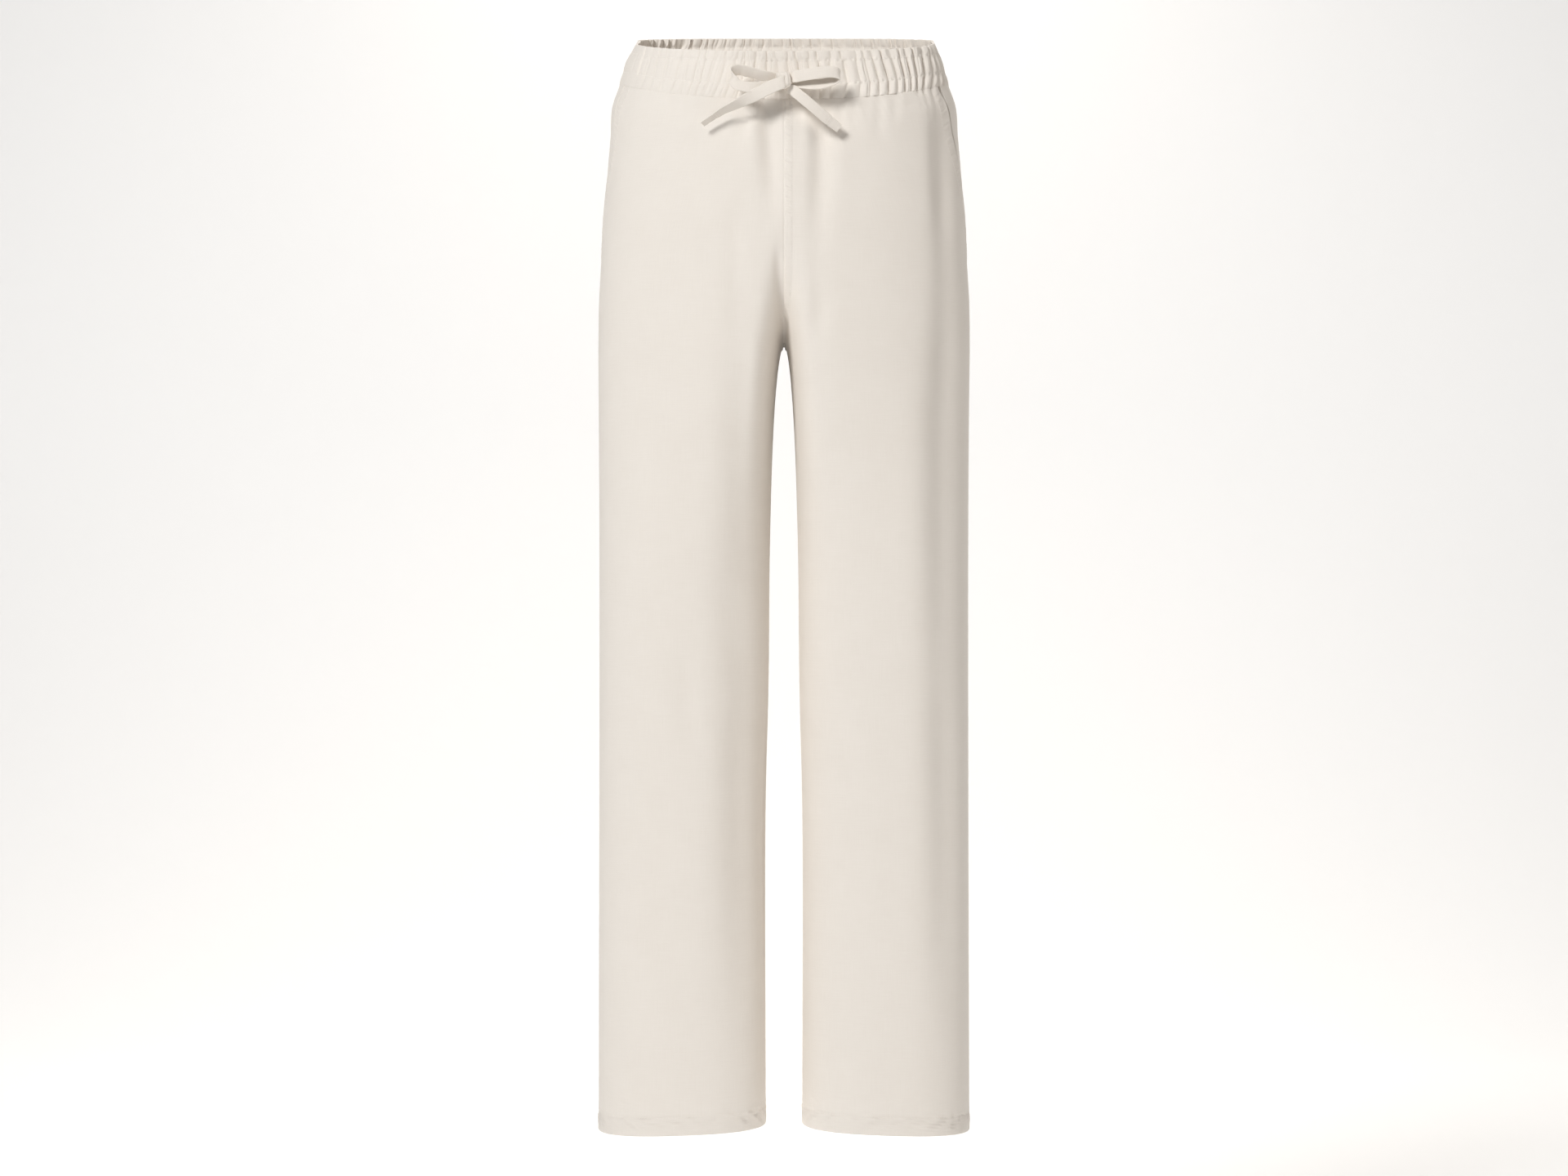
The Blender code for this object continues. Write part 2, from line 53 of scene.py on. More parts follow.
PHOTO_SIZE = (1920, 1440)  # pixels
FOCAL_PIXELS = 4250.0
CAMERA_PLACE = (0.0, -3.4, -0.512)
SENSOR = 36.0  # millimetres

FLOOR_Z = -1.34
FLOOR_SURFACE = {
    "Base Color": (0.93, 0.93, 0.93, 1.0),
    "Roughness": 0.9,
    "Specular IOR Level": 0.1,
    "Emission Color": (1.0, 1.0, 1.0, 1.0),
    "Emission Strength": 0.20,
}
FLOOR_FRONT_Y = -2.2
SWEEP_Y = 2.6  # where the floor starts to turn up into the backdrop
SWEEP_RADIUS = 1.2
BACKDROP_TOP_Z = 4.5
STAGE_HALF_WIDTH = 7.0
STAGE_STEPS = 24

LIGHTS = (
    # name, place, looks at, size, watts, colour
    ("key", (-1.72, -2.84, 1.79), (0.0, 0.0, -0.45), 1.1, 110.0, (1.0, 1.0, 0.995)),
    ("side_fill", (3.0, -1.73, 1.55), (0.0, 0.0, -0.45), 2.0, 35.0, (1.0, 0.945, 0.885)),
    ("back_light", (0.0, 3.06, 2.12), (0.0, 0.0, -0.45), 2.0, 78.0, (1.0, 0.94, 0.87)),
    ("top_light", (0.5, -0.3, 2.4), (-0.1, 0.1, 0.0), 1.6, 7.0, (1.0, 0.96, 0.91)),
)
SKY = (1.0, 0.99, 0.975)
SKY_STRENGTH = 0.10


def add_object(name, data):
    """An object that shows the data, linked to the scene."""
    made = bpy.data.objects.new(name, data)
    bpy.context.scene.collection.objects.link(made)
    return made


def add_material(name):
    """A new material and its surface shader."""
    made = bpy.data.materials.new(name)
    made.use_nodes = True
    return made, made.node_tree.nodes["Principled BSDF"]


def add_camera():
    """The photograph's level view, from in front."""
    lens = bpy.data.cameras.new("photo_camera")
    lens.sensor_width = SENSOR
    lens.lens = SENSOR * FOCAL_PIXELS / PHOTO_SIZE[0]
    camera = add_object("photo_camera", lens)
    camera.location = CAMERA_PLACE
    camera.rotation_euler = (math.radians(90.0), 0.0, 0.0)
    bpy.context.scene.camera = camera


def add_stage():
    """A plain pale floor that sweeps up into a backdrop."""
    turns = np.linspace(0.0, math.pi / 2, STAGE_STEPS)
    bend = [
        (SWEEP_Y + SWEEP_RADIUS * math.sin(a), FLOOR_Z + SWEEP_RADIUS * (1 - math.cos(a)))
        for a in turns
    ]
    line = [(FLOOR_FRONT_Y, FLOOR_Z), *bend, (SWEEP_Y + SWEEP_RADIUS, BACKDROP_TOP_Z)]
    corners = [(side * STAGE_HALF_WIDTH, y, z) for y, z in line for side in (-1.0, 1.0)]
    faces = [(2 * i, 2 * i + 1, 2 * i + 3, 2 * i + 2) for i in range(len(line) - 1)]
    mesh = bpy.data.meshes.new("studio_floor")
    mesh.from_pydata(corners, [], faces)
    mesh.shade_smooth()
    paint, shader = add_material("pale_floor")
    for socket, value in FLOOR_SURFACE.items():
        shader.inputs[socket].default_value = value
    mesh.materials.append(paint)
    add_object("studio_floor", mesh)


def add_lights():
    """Soft light from the upper left, a wide fill, and faint lights from behind and above."""
    for name, place, target, size, power, colour in LIGHTS:
        lamp = bpy.data.lights.new(name, "AREA")
        lamp.shape = "DISK"
        lamp.size = size
        lamp.energy = power
        lamp.color = colour
        light = add_object(name, lamp)
        light.location = place
        aim = Vector(target) - Vector(place)
        light.rotation_euler = aim.to_track_quat("-Z", "Y").to_euler()
    world = bpy.data.worlds.new("studio")
    world.use_nodes = True
    sky = world.node_tree.nodes["Background"]
    sky.inputs["Color"].default_value = (*SKY, 1.0)
    sky.inputs["Strength"].default_value = SKY_STRENGTH
    bpy.context.scene.world = world
    bpy.context.scene.view_settings.view_transform = "Standard"


# ---------- the form, as in the solids

def metres(rows):
    """A table's rows, given in millimetres."""
    return tuple(tuple(value / 1000 for value in row) for row in rows)


SEAM_Z = -0.0220
CROTCH_Z = -0.2740
CROTCH_RISE = 0.1200
HEM_Z = -1.0405
HEM_STITCH_Z = -1.0230
HEM_LIFT = 0.0055
HEM_LIFT_FROM = -0.85
WAIST_TILT = 0.213
WAIST_DIP = 1.97
WAIST_SAG = 0.24
BAND_TOP_Z = 0.0230
TILT_END_Z = -0.200
TORSO_ROUND = 2.5
LEG_ROUND = 2.5
FORK_ROUND = 2.5
FORK_REACH = 0.027
ARCH_DEPTH = 0.12  # how far below the crotch the arch still shapes the cloth above it
ARCH_STEPS = 48
THIGH_TOP_Z = -0.250
THIGH_END_Z = -0.560
RINGS = metres((
    # z, half, front, back, in millimetres
    (23, 148.5, 105.5, 105.5),
    (-22, 161.2, 108.5, 109.5),
    (-40, 167.5, 110, 113),
    (-72, 169.8, 111, 117.5),
    (-110, 173, 111, 122),
    (-152, 176.5, 110, 125),
    (-200, 179, 108, 125),
    (-232, 180.8, 106.5, 122.5),
    (-274, 181.5, 104.5, 118),
    (-336, 181.2, 100, 110),
    (-432, 180.6, 90.5, 96),
    (-576, 180.4, 79.5, 81.5),
    (-720, 180.6, 73.5, 75),
    (-900, 181, 71, 71.5),
    (-1040.5, 181.2, 70, 70),
))
LEG_PARTING = metres((
    # drop below the crotch, half of the space between the legs, in millimetres
    (0, 0),
    (6, 2.7),
    (14, 4.3),
    (62, 9.1),
    (110, 11.5),
    (206, 13.9),
    (350, 15.5),
    (420, 17.4),
    (766.5, 17.9),
))
FRONT, BACK = -1, 1
POCKET_TOP_INSETS = {1: 0.0550, -1: 0.0460}  # the wearer's left and right
POCKET_CURVE = 1.25
POCKET_END_INSET = 0.0020
POCKET_END_Z = -0.1911
POCKET_LIFT = 0.0003
POCKET_LIFT_REACH = 0.012


def smooth_between(start, end, at):
    """0 at start, 1 at end, with level ends."""
    share = np.clip((at - start) / (end - start), 0.0, 1.0)
    return share * share * (3.0 - 2.0 * share)


def near(distance, width):
    """1 at no distance, fading out over the width."""
    return np.exp(-((distance / width) ** 2))


def through(rows, column, at):
    """A smooth curve through a table's rows, read at places in its first column."""
    table = np.array(sorted(rows))
    places, values = table[:, 0], table[:, column]
    slopes = np.gradient(values, places)
    low = np.clip(np.searchsorted(places, at) - 1, 0, len(places) - 2)
    span = places[low + 1] - places[low]
    u = np.clip((at - places[low]) / span, 0.0, 1.0)
    start = values[low] * (1 + 2 * u) * (1 - u) ** 2 + slopes[low] * span * u * (1 - u) ** 2
    end = values[low + 1] * u * u * (3 - 2 * u) - slopes[low + 1] * span * u * u * (1 - u)
    return start + end


def leg_parting(z):
    """Half of the space between the legs: it opens like an arch under the crotch."""
    roots = tuple((math.sqrt(drop), space) for drop, space in LEG_PARTING)
    drop = np.maximum(CROTCH_Z - z, 0.0)
    return through(roots, 1, np.sqrt(drop))


def arc(across, roundness):
    """Height of a superellipse's arc at a share of the way from its middle to its end."""
    return (1 - np.clip(across, 0.0, 1.0) ** roundness) ** (1 / roundness)


def from_crotch(x, z):
    """Distance to the arch between the legs, 1 at FORK_REACH beside it or CROTCH_RISE above it."""
    least = np.hypot(x / FORK_REACH, np.maximum(z - CROTCH_Z, 0.0) / CROTCH_RISE)
    beside = (x - leg_parting(z)) / FORK_REACH
    least = np.where(z <= CROTCH_Z, beside, least)
    for drop in ARCH_DEPTH * np.linspace(0.0, 1.0, ARCH_STEPS) ** 2:
        space = leg_parting(CROTCH_Z - drop)
        off = np.hypot((x - space) / FORK_REACH, (z - CROTCH_Z + drop) / CROTCH_RISE)
        least = np.minimum(least, off)
    return least


def form(side, t, z):
    """Points of one half of the form (x > 0). side: FRONT or BACK. t: 0 side seam, 1 middle."""
    t, z = np.broadcast_arrays(np.clip(t, 0.0, 1.0), z)
    half = through(RINGS, 1, z)
    depth = through(RINGS, 2 if side == FRONT else 3, z)
    inner = leg_parting(z)
    share = np.cos(np.pi * t / 2) ** 2
    x = inner + (half - inner) * share
    fork = arc(1 - np.clip(from_crotch(x, z), 0.0, 1.0), FORK_ROUND)
    torso = arc(x / half, TORSO_ROUND) * fork
    leg = arc(np.abs(np.cos(np.pi * t)), LEG_ROUND)
    leg_share = smooth_between(THIGH_TOP_Z, THIGH_END_Z, z)
    y = side * depth * (torso + leg_share * (leg - torso))
    dipped = smooth_between(BAND_TOP_Z, SEAM_Z, z)
    slope = (1 - dipped) * WAIST_TILT * y + dipped * WAIST_DIP * y * np.abs(y)
    tilt = smooth_between(TILT_END_Z, SEAM_Z, z) * (slope - WAIST_SAG * y * y)
    lift = HEM_LIFT * (1 - share) * smooth_between(HEM_LIFT_FROM, HEM_STITCH_Z, z)
    return np.stack([x, y, z + tilt + lift], axis=-1)


def form_normals(side, t, z, step_t=1e-4, step_z=2e-4):
    """Outward unit normals of the form at the same places."""
    along = form(side, t + step_t, z) - form(side, t - step_t, z)
    up = form(side, t, z + step_z) - form(side, t, z - step_z)
    normal = np.cross(along, up) * side
    return normal / np.linalg.norm(normal, axis=-1, keepdims=True)


def level(normals):
    """The same directions turned level."""
    flat = normals * (1.0, 1.0, 0.0)
    return flat / np.linalg.norm(flat, axis=-1, keepdims=True)


def apart(a, b):
    """Distances between two sets of points."""
    return np.linalg.norm(a - b, axis=-1)


def run_along(points):
    """Distance from the first of a line of points to each of them."""
    return np.concatenate([[0.0], np.cumsum(apart(points[1:], points[:-1]))])


def t_at_inset(side, inset, z):
    """t of the point whose depth in front of (or behind) the side seam is inset."""
    depth = through(RINGS, 2 if side == FRONT else 3, z)
    across = (1 - (inset / depth) ** TORSO_ROUND) ** (1 / TORSO_ROUND)
    return 2 / np.pi * np.arccos(np.sqrt(across))


def side_edge(side, hand, z):
    """t of a panel's side edge: the side seam, and on the front the pocket edge above it."""
    if side == BACK:
        return np.zeros_like(z)
    top, end = POCKET_TOP_INSETS[hand], POCKET_END_INSET
    down = np.clip((SEAM_Z - z) / (SEAM_Z - POCKET_END_Z), 0.0, 1.0)
    inset = end + (top - end) * (1 - down**POCKET_CURVE)
    return t_at_inset(side, np.where(z >= POCKET_END_Z, inset, 0.0), z)


# ---------- gathers of the waistband

GATHERS = {FRONT: 42, BACK: 42}
GATHER_DRIFT = ((0.42, 11.3, 0.6), (0.16, 29.0, 2.1))
FULLNESS = {
    # place from the wearer's right side seam (-1) to the left (1), share of the gather height
    FRONT: (
        (-1.00, 0.02),
        (-0.90, 0.03),
        (-0.76, 0.08),
        (-0.64, 0.13),
        (-0.40, 0.24),
        (-0.10, 0.60),
        (0.20, 0.90),
        (0.45, 1.10),
        (0.80, 1.10),
        (0.88, 0.55),
        (1.00, 0.20),
    ),
    BACK: ((-1.0, 0.05), (-0.93, 0.8), (-0.3, 0.95), (0.3, 0.9), (0.93, 0.85), (1.0, 0.05)),
}
VALLEY_WIDTH = 0.11  # of a gather
RIDGE_HEIGHTS = (0.62, 0.40)  # least, and what is added unevenly
VALLEY_DEPTHS = (0.40, 0.95)
FINE_VALLEY = 0.42  # depth of a faint valley on some ridges, as a share of a gather
FINE_WIDTH = 0.07
PLACE_STEPS = 4000


@functools.cache
def ring_lengths(side, z):
    """Matching lists of t and of the distance round the form from the side seam, at a level."""
    t = np.linspace(0.0, 1.0, PLACE_STEPS + 1)
    return t, run_along(form(side, t, z))


def shares_of_arc(side):
    """Matching lists of t and of the share of the way round the band, from side to middle."""
    t, length = ring_lengths(side, 0.0)
    return t, length / length[-1]


def gather_count(side, place):
    """How many gathers lie between the right side seam and a place (-1 to 1), unevenly spaced."""
    count = GATHERS[side] * (place + 1) / 2
    for far, often, start in GATHER_DRIFT:
        count = count + far * np.sin(np.pi * place) * np.sin(often * place + start)
    return count


def uneven(number, seed):
    """A share from 0 to 1 that is each whole number's own."""
    return np.modf(np.abs(np.sin(number * 12.9898 + seed) * 43758.5453))[0]


def gather_ridges(count):
    """Broad round ridges at whole counts, 0 between them."""
    number = np.round(count)
    least, more = RIDGE_HEIGHTS
    return (least + more * uneven(number, 1.0)) * np.cos(np.pi * (count - number)) ** 2


def gather_valleys(count):
    """Narrow valleys halfway between whole counts, some deep and some faint."""
    number = np.floor(count)
    least, more = VALLEY_DEPTHS
    return (least + more * uneven(number, 4.0)) * near(count - number - 0.5, VALLEY_WIDTH)


def gathered(count, full, roundness=1.0):
    """Height of the gathered cloth, as a share of a full gather's height."""
    number = np.round(count)
    off = count - number - 0.5 * (uneven(number, 9.0) - 0.5)
    fine = FINE_VALLEY * (uneven(number, 2.0) > 0.45) * near(off, FINE_WIDTH)
    ridges = roundness * full * (gather_ridges(count) - 0.5)
    return ridges - np.sqrt(full) * (gather_valleys(count) + fine)


# ---------- relief of the panels

CREASE_HEAD = 0.30  # share of a crease's length over which it deepens
CREASE_TAIL = 0.55  # share over which it fades out
CREASE_SHOULDER = 0.9  # how much the cloth stands up beside a crease
CREASE_CLEAR = 0.012  # no crease crosses a side seam or an inseam
CREASES = {
    # from x, z; to x, z; half width, depth (less than zero for a ridge), in millimetres
    FRONT: (
        # under the bow
        (-16.5, -40, -8.5, -170, 12.5, 5.8),
        (38, -38, 33, -205, 13, 5.8),
        (-45, -130, -47, -310, 12, 1.8),
        (33, -150, 30, -440, 12, 1.4),
        (-33, -52, -44, -94, 9, 2),
        (-35, -60, -18, -72, 5, 1.2),
        (24, -50, 20, -110, 9, -0.8),
        # short ones under the waist seam
        (-106, -42, -106, -74, 5, 1.1),
        (-92, -42, -90.5, -72, 4.5, 1),
        (-62, -44, -60, -78, 5, 0.8),
        (52, -38, 56, -92, 5, 2.3),
        (64, -38, 67.5, -86, 4.5, 1.9),
        (79, -36, 80, -78, 4.5, 1.4),
        (90, -34, 91.5, -96, 6, 2),
        (106, -32, 106, -74, 5, 1.3),
        # beside the pocket on the wearer's left
        (150, -26, 156, -240, 13, 5.4),
        (156, -170, 158, -380, 17, 3.2),
        # to the crotch
        (-6, -180, -2, -275, 6, 2.2),
        (3, -250, 1.6, -273, 3, 1.4),
        (-40, -215, -14, -300, 14, 1.6),
        (48, -215, 16, -300, 14, 1.4),
        # down the legs
        (-36, -190, -35, -700, 28, 5.6),
        (-37, -540, -37, -1015, 29, 6.6),
        (-70, -480, -25, -640, 20, 1.6),
        (-96, -560, -88, -700, 14, 1.4),
        (-118, -640, -116, -930, 20, 1),
        (157, -220, 156, -760, 26, 7.2),
        (157, -560, 160, -1015, 24, 5.2),
        (60, -700, 75, -960, 20, 1.2),
        # at the hems
        (-180, -982, -162, -1012, 5, 1.2),
        (-24, -1006, -34, -1018, 4, 0.9),
        (-156, -1004, -150, -1018, 4, 0.6),
        (164, -1016, 164, -1040, 2.2, 0.9),
        (24, -1000, 35, -1016, 4, 0.8),
    ),
    BACK: (
        # under the waist seam
        (-118, -5, -118, -47, 7, 1.6),
        (-86, -3, -84, -68, 7.5, 2.1),
        (-54, -2, -55.5, -42, 7, 1.7),
        (-21, 0, -17, -88, 8, 2.5),
        (19, 0, 15, -78, 8, 2.3),
        (48, -2, 49, -47, 7, 1.6),
        (83, -3, 81.5, -83, 7.5, 2.1),
        (114, -5, 114, -53, 7, 1.6),
        # under the seat
        (-70, -285, -115, -350, 15, 3.4),
        (70, -290, 113, -345, 15, 3.2),
        (-30, -270, -62, -330, 12, 2.2),
        (28, -275, 58, -335, 12, 2),
        (-150, -240, -130, -330, 12, 1.4),
        (148, -245, 130, -320, 12, 1.2),
        # down the legs
        (-70, -420, -51, -800, 20, 2.4),
        (-128, -470, -118, -680, 17, 1.4),
        (122, -450, 100, -820, 21, 2.2),
        (60, -520, 66, -720, 17, 1.4),
        (-100, -800, -106, -980, 18, 1),
        (80, -840, 74, -990, 18, 1),
        # at the hems
        (-174, -990, -156, -1014, 5, 1),
        (24, -1004, 36, -1018, 4, 0.8),
        (170, -994, 156, -1014, 4.5, 0.8),
    ),
}

SEAM_ROLL = (0.0010, 0.0005)  # reach and depth of the roll into a seam
TOPSTITCH = 0.0072  # from the edge that it holds down
POCKET_STITCH = 0.0125
TOPSTITCH_RISE = 0.0003  # cloth doubled between the edge and the topstitching
WAIST_SEAM = (0.0009, 0.0002)  # reach and depth
SEAM_PULL = 0.0009  # height of the band's gathers at the waist seam
BAND_PULL_RISE = 0.004
BAND_PULL = 0.0013  # height of the small gathers under the waistband
BAND_PULL_REACH = 0.012
STITCH_BLUR = 0.001  # half of the width over which doubled cloth steps down at its stitching
SEWN_FADE = 0.02  # above the crotch, where the middle seam's stitching ends
POCKET_END_BLUR = 0.004
FRINGE = {"middle": 0.002, "pocket": 0.003}  # from an edge, where its puckers start
PLAIN_REACH = 0.006  # of the puckers beside a plain seam
HEM_RISE = 0.0003
HEM_CALM = 0.012  # no roping this close to a side seam or an inseam
HEM_STITCH_DIP = (0.0013, 0.0006)  # reach and depth of the groove along the hem stitching
HEM_PHASES = (0.31, 0.53)  # shift of the roping on the wearer's left and on the back
ROPING_FADE = (0.6, -0.004)  # share that is gone at the hem's edge, and the height where it starts
ROPING_SLANT = 3.0
ABOVE_HEM = 0.006  # reach of the puckers above the hem
PUCKERS = {
    # spacing along the seam, lean (drift for each metre across), height
    "pocket": (0.0046, 0.35, 0.00030),
    "middle": (0.0047, 0.45, 0.00036),
    "plain": (0.0090, 0.30, 0.00007),
    "hem": (0.0068, 0.55, 0.00085),
    "above_hem": (0.0068, 0.0, 0.00070),
}


def held_creases(side, hand, z, points):
    """The creases' relief, which fades out at the side seam and along the legs' inner seams."""
    from_middle = apart(points, form(side, np.ones_like(z), z))
    from_side = apart(points, form(side, np.zeros_like(z), z))
    shared = smooth_between(0.0, CREASE_CLEAR, from_side)
    shared = shared * np.where(z > CROTCH_Z, 1.0, smooth_between(0.0, CREASE_CLEAR, from_middle))
    return shared * crease_relief(CREASES[side], points[..., 0] * hand, points[..., 2])


def crease_relief(creases, x, z):
    """Height that soft troughs and ridges add at places seen from the front or the back."""
    relief = np.zeros_like(x)
    for x0, z0, x1, z1, width, deep in metres(creases):
        run = np.array([x1 - x0, z1 - z0])
        along = ((x - x0) * run[0] + (z - z0) * run[1]) / (run @ run)
        along = np.clip(along, 0.0, 1.0)
        off = np.hypot(x - x0 - along * run[0], z - z0 - along * run[1]) / width
        fade = smooth_between(0.0, CREASE_HEAD, along)
        fade = fade * smooth_between(1.0, 1.0 - CREASE_TAIL, along)
        relief -= deep * fade * (1 - CREASE_SHOULDER * off**2) * np.exp(-(off**2))
    return relief


def pucker_wave(kind, along, across):
    """Uneven ripples that run across a seam."""
    spacing, lean, height = PUCKERS[kind]
    turn = 2 * np.pi * (along + lean * across) / spacing
    swing = 1.7 * np.sin(0.23 * turn + 0.7) + 0.9 * np.sin(0.61 * turn + 2.0)
    strength = 0.65 + 0.35 * np.sin(0.31 * turn + 1.1)
    return height * strength * np.sin(turn + swing)


def inside_stitch(stitch, from_edge):
    """1 between an edge and its stitching, 0 beyond."""
    return 1 - smooth_between(stitch - STITCH_BLUR, stitch + STITCH_BLUR, from_edge)


def seam_relief(side, hand, z, points):
    """Rolled seams, doubled edges with their topstitching, and puckers along them."""
    relief = np.zeros_like(points[..., 0])
    reach, deep = SEAM_ROLL
    from_middle = apart(points, form(side, np.ones_like(z), z))
    edge = side_edge(side, hand, z)
    from_side = apart(points, form(side, edge, z))
    relief -= deep * near(from_middle, reach)
    above_crotch = smooth_between(CROTCH_Z, CROTCH_Z + SEWN_FADE, z)
    # the seam allowance of the middle seam is pressed to the wearer's left and stitched down
    if hand > 0:
        doubled = above_crotch * inside_stitch(TOPSTITCH, from_middle)
        relief += TOPSTITCH_RISE * doubled * (1 - near(from_middle, 2 * reach))
        fringe = smooth_between(0.0, FRINGE["middle"], from_middle)
        relief += doubled * pucker_wave("middle", z, from_middle) * fringe
    plain = (1 - above_crotch) * near(from_middle, PLAIN_REACH)
    relief += plain * pucker_wave("plain", z, from_middle)
    if side == FRONT:
        down = np.clip((SEAM_Z - z) / (SEAM_Z - POCKET_END_Z), 0.0, 1.0)
        relief += POCKET_LIFT * np.sin(np.pi * down) * near(from_side, POCKET_LIFT_REACH)
        pocket = smooth_between(POCKET_END_Z - POCKET_END_BLUR, POCKET_END_Z + POCKET_END_BLUR, z)
    else:
        pocket = np.zeros_like(z)
    doubled = pocket * inside_stitch(POCKET_STITCH, from_side)
    relief += TOPSTITCH_RISE * doubled
    fringe = smooth_between(0.0, FRINGE["pocket"], from_side)
    relief += doubled * fringe * pucker_wave("pocket", z, from_side)
    relief -= deep * (1 - pocket) * near(from_side, reach)
    relief += (1 - pocket) * near(from_side, PLAIN_REACH) * pucker_wave("plain", z, from_side)
    return relief


def hem_relief(side, hand, t, z):
    """The turned-up hem: a slight step, a stitched groove, and roping below and above it."""
    round_t, round_length = ring_lengths(side, HEM_STITCH_Z)
    around = np.interp(t, round_t, round_length)
    calm = smooth_between(0.0, HEM_CALM, around)
    calm = calm * smooth_between(0.0, HEM_CALM, round_length[-1] - around)
    along = around + HEM_PHASES[0] * (hand > 0) + HEM_PHASES[1] * (side == BACK)
    above = z - HEM_STITCH_Z
    reach, deep = HEM_STITCH_DIP
    below = smooth_between(STITCH_BLUR, -STITCH_BLUR, above)
    relief = HEM_RISE * below - deep * near(above, reach)
    fade = 1 - ROPING_FADE[0] * smooth_between(ROPING_FADE[1], HEM_Z - HEM_STITCH_Z, above)
    relief += calm * below * fade * pucker_wave("hem", along, above * ROPING_SLANT)
    relief += calm * (1 - below) * pucker_wave("above_hem", along, above) * near(above, ABOVE_HEM)
    return relief


def panel_relief(side, hand, t, z, points):
    """How far a panel's cloth stands out from the form. hand is 1 on the wearer's left, -1 right."""
    relief = held_creases(side, hand, z, points)
    arc_t, arc_share = shares_of_arc(side)
    place = (1 - np.interp(t, arc_t, arc_share)) * hand
    pull = gathered(slanted_count(side, place, 0.0), through(FULLNESS[side], 1, place))
    below = SEAM_Z - z
    high = SEAM_PULL + (BAND_PULL - SEAM_PULL) * smooth_between(0.0, BAND_PULL_RISE, below)
    relief += high * pull * np.exp(-below / BAND_PULL_REACH)
    relief -= WAIST_SEAM[1] * near(SEAM_Z - z, WAIST_SEAM[0])
    relief += seam_relief(side, hand, z, points)
    relief += hem_relief(side, hand, t, z)
    return relief


MIDDLE_HOLD = 0.006  # reach over which the middle seam's cloth keeps its place across


def panel_surface(side, hand, t, z):
    """Outer points of a panel's cloth, and the outward normals of the form under them."""
    t, z = np.broadcast_arrays(t, z)
    points = form(side, t, z)
    normals = form_normals(side, t, z)
    relief = panel_relief(side, hand, t, z, points)
    turn = (hand, 1.0, 1.0)
    moved = normals * relief[..., None]
    from_middle = apart(points, form(side, np.ones_like(z), z))
    moved[..., 0] *= 1 - near(from_middle, MIDDLE_HOLD) * (z > CROTCH_Z)
    return (points + moved) * turn, normals * turn


# ---------- meshes

UV_NAME = "cloth"
CREASE_DEGREES = 70.0


def add_mesh(name, points, faces, uv, material):
    """A piece that rides on the part. uv is in metres of cloth."""
    mesh = bpy.data.meshes.new(name)
    mesh.from_pydata(np.asarray(points).reshape(-1, 3).tolist(), [], faces)
    layer = mesh.uv_layers.new(name=UV_NAME)
    corners = np.empty(len(mesh.loops), dtype=np.int32)
    mesh.loops.foreach_get("vertex_index", corners)
    layer.data.foreach_set("uv", np.asarray(uv, dtype=np.float32)[corners].ravel())
    mesh.shade_smooth()
    mesh.set_sharp_from_angle(angle=math.radians(CREASE_DEGREES))
    mesh.materials.append(material)
    piece = add_object(name, mesh)
    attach(piece, BODY)
    return piece


def cloth_uv(points, row):
    """Cloth coordinates: metres round the piece, measured on one row, and height."""
    across = run_along(points[row])
    return np.stack(np.broadcast_arrays(across[None, :], points[..., 2]), axis=-1)


def tube_faces(rings, sides):
    """Quads round a tube and its two end caps."""
    index = np.arange(rings * sides).reshape(rings, sides)
    beside = np.roll(index, -1, axis=1)
    quads = np.stack([index[:-1], index[1:], beside[1:], beside[:-1]], axis=-1)
    return quads.reshape(-1, 4).tolist() + [index[0].tolist(), index[-1, ::-1].tolist()]


def wall_faces(rows, columns, outward):
    """Quads of a closed wall whose rows run down one face and back up the other."""
    index = np.arange(rows * columns).reshape(rows, columns)
    following = np.roll(index, -1, axis=0)
    skin = np.stack([index[:, :-1], following[:, :-1], following[:, 1:], index[:, 1:]], axis=-1)
    half = rows // 2
    near_rows, far_rows = index[:half], index[::-1][:half]
    ends = []
    for column, order in ((0, 1), (-1, -1)):
        a, b = near_rows[:, column], far_rows[:, column]
        ends.append(np.stack([b[:-1], b[1:], a[1:], a[:-1]][::order], axis=-1))
    faces = np.concatenate([skin.reshape(-1, 4), *ends])
    return (faces if outward else faces[:, ::-1]).tolist()


def add_wall(name, ring, uv, material):
    """A closed wall from a ring of rows, turned so that its faces look out."""
    rows, columns = ring.shape[:2]
    quarter = rows // 4
    middle = columns // 2
    a, b, c = ring[quarter, middle], ring[quarter + 1, middle], ring[quarter, middle + 1]
    outside = a - ring[rows - 1 - quarter, middle]
    outward = np.dot(np.cross(b - a, c - a), outside) > 0
    return add_mesh(name, ring, wall_faces(rows, columns, outward), uv.reshape(-1, 2), material)


# ---------- panels

WALL = 0.0010
HEM_WALL = 0.0024
HEM_EDGE_RADIUS = 0.0012
HEM_EDGE_DEGREES = (25.0, 50.0, 75.0)
HEM_STEP = (0.0012, -0.0004)  # from the stitching, where the doubled wall starts and is full
HEM_ZONE_Z = -1.0000  # rows are closer from here down
ROWS = {
    # rows of the hip, the crotch, the leg and the hem
    FRONT: (146, 100, 160, 30),
    BACK: (66, 60, 160, 30),
}
COLUMNS = {FRONT: 80, BACK: 72}
EDGE_CROWDING = 0.72  # how much closer the columns are at a panel's edges
LEG_ROW_POWER = 1.3


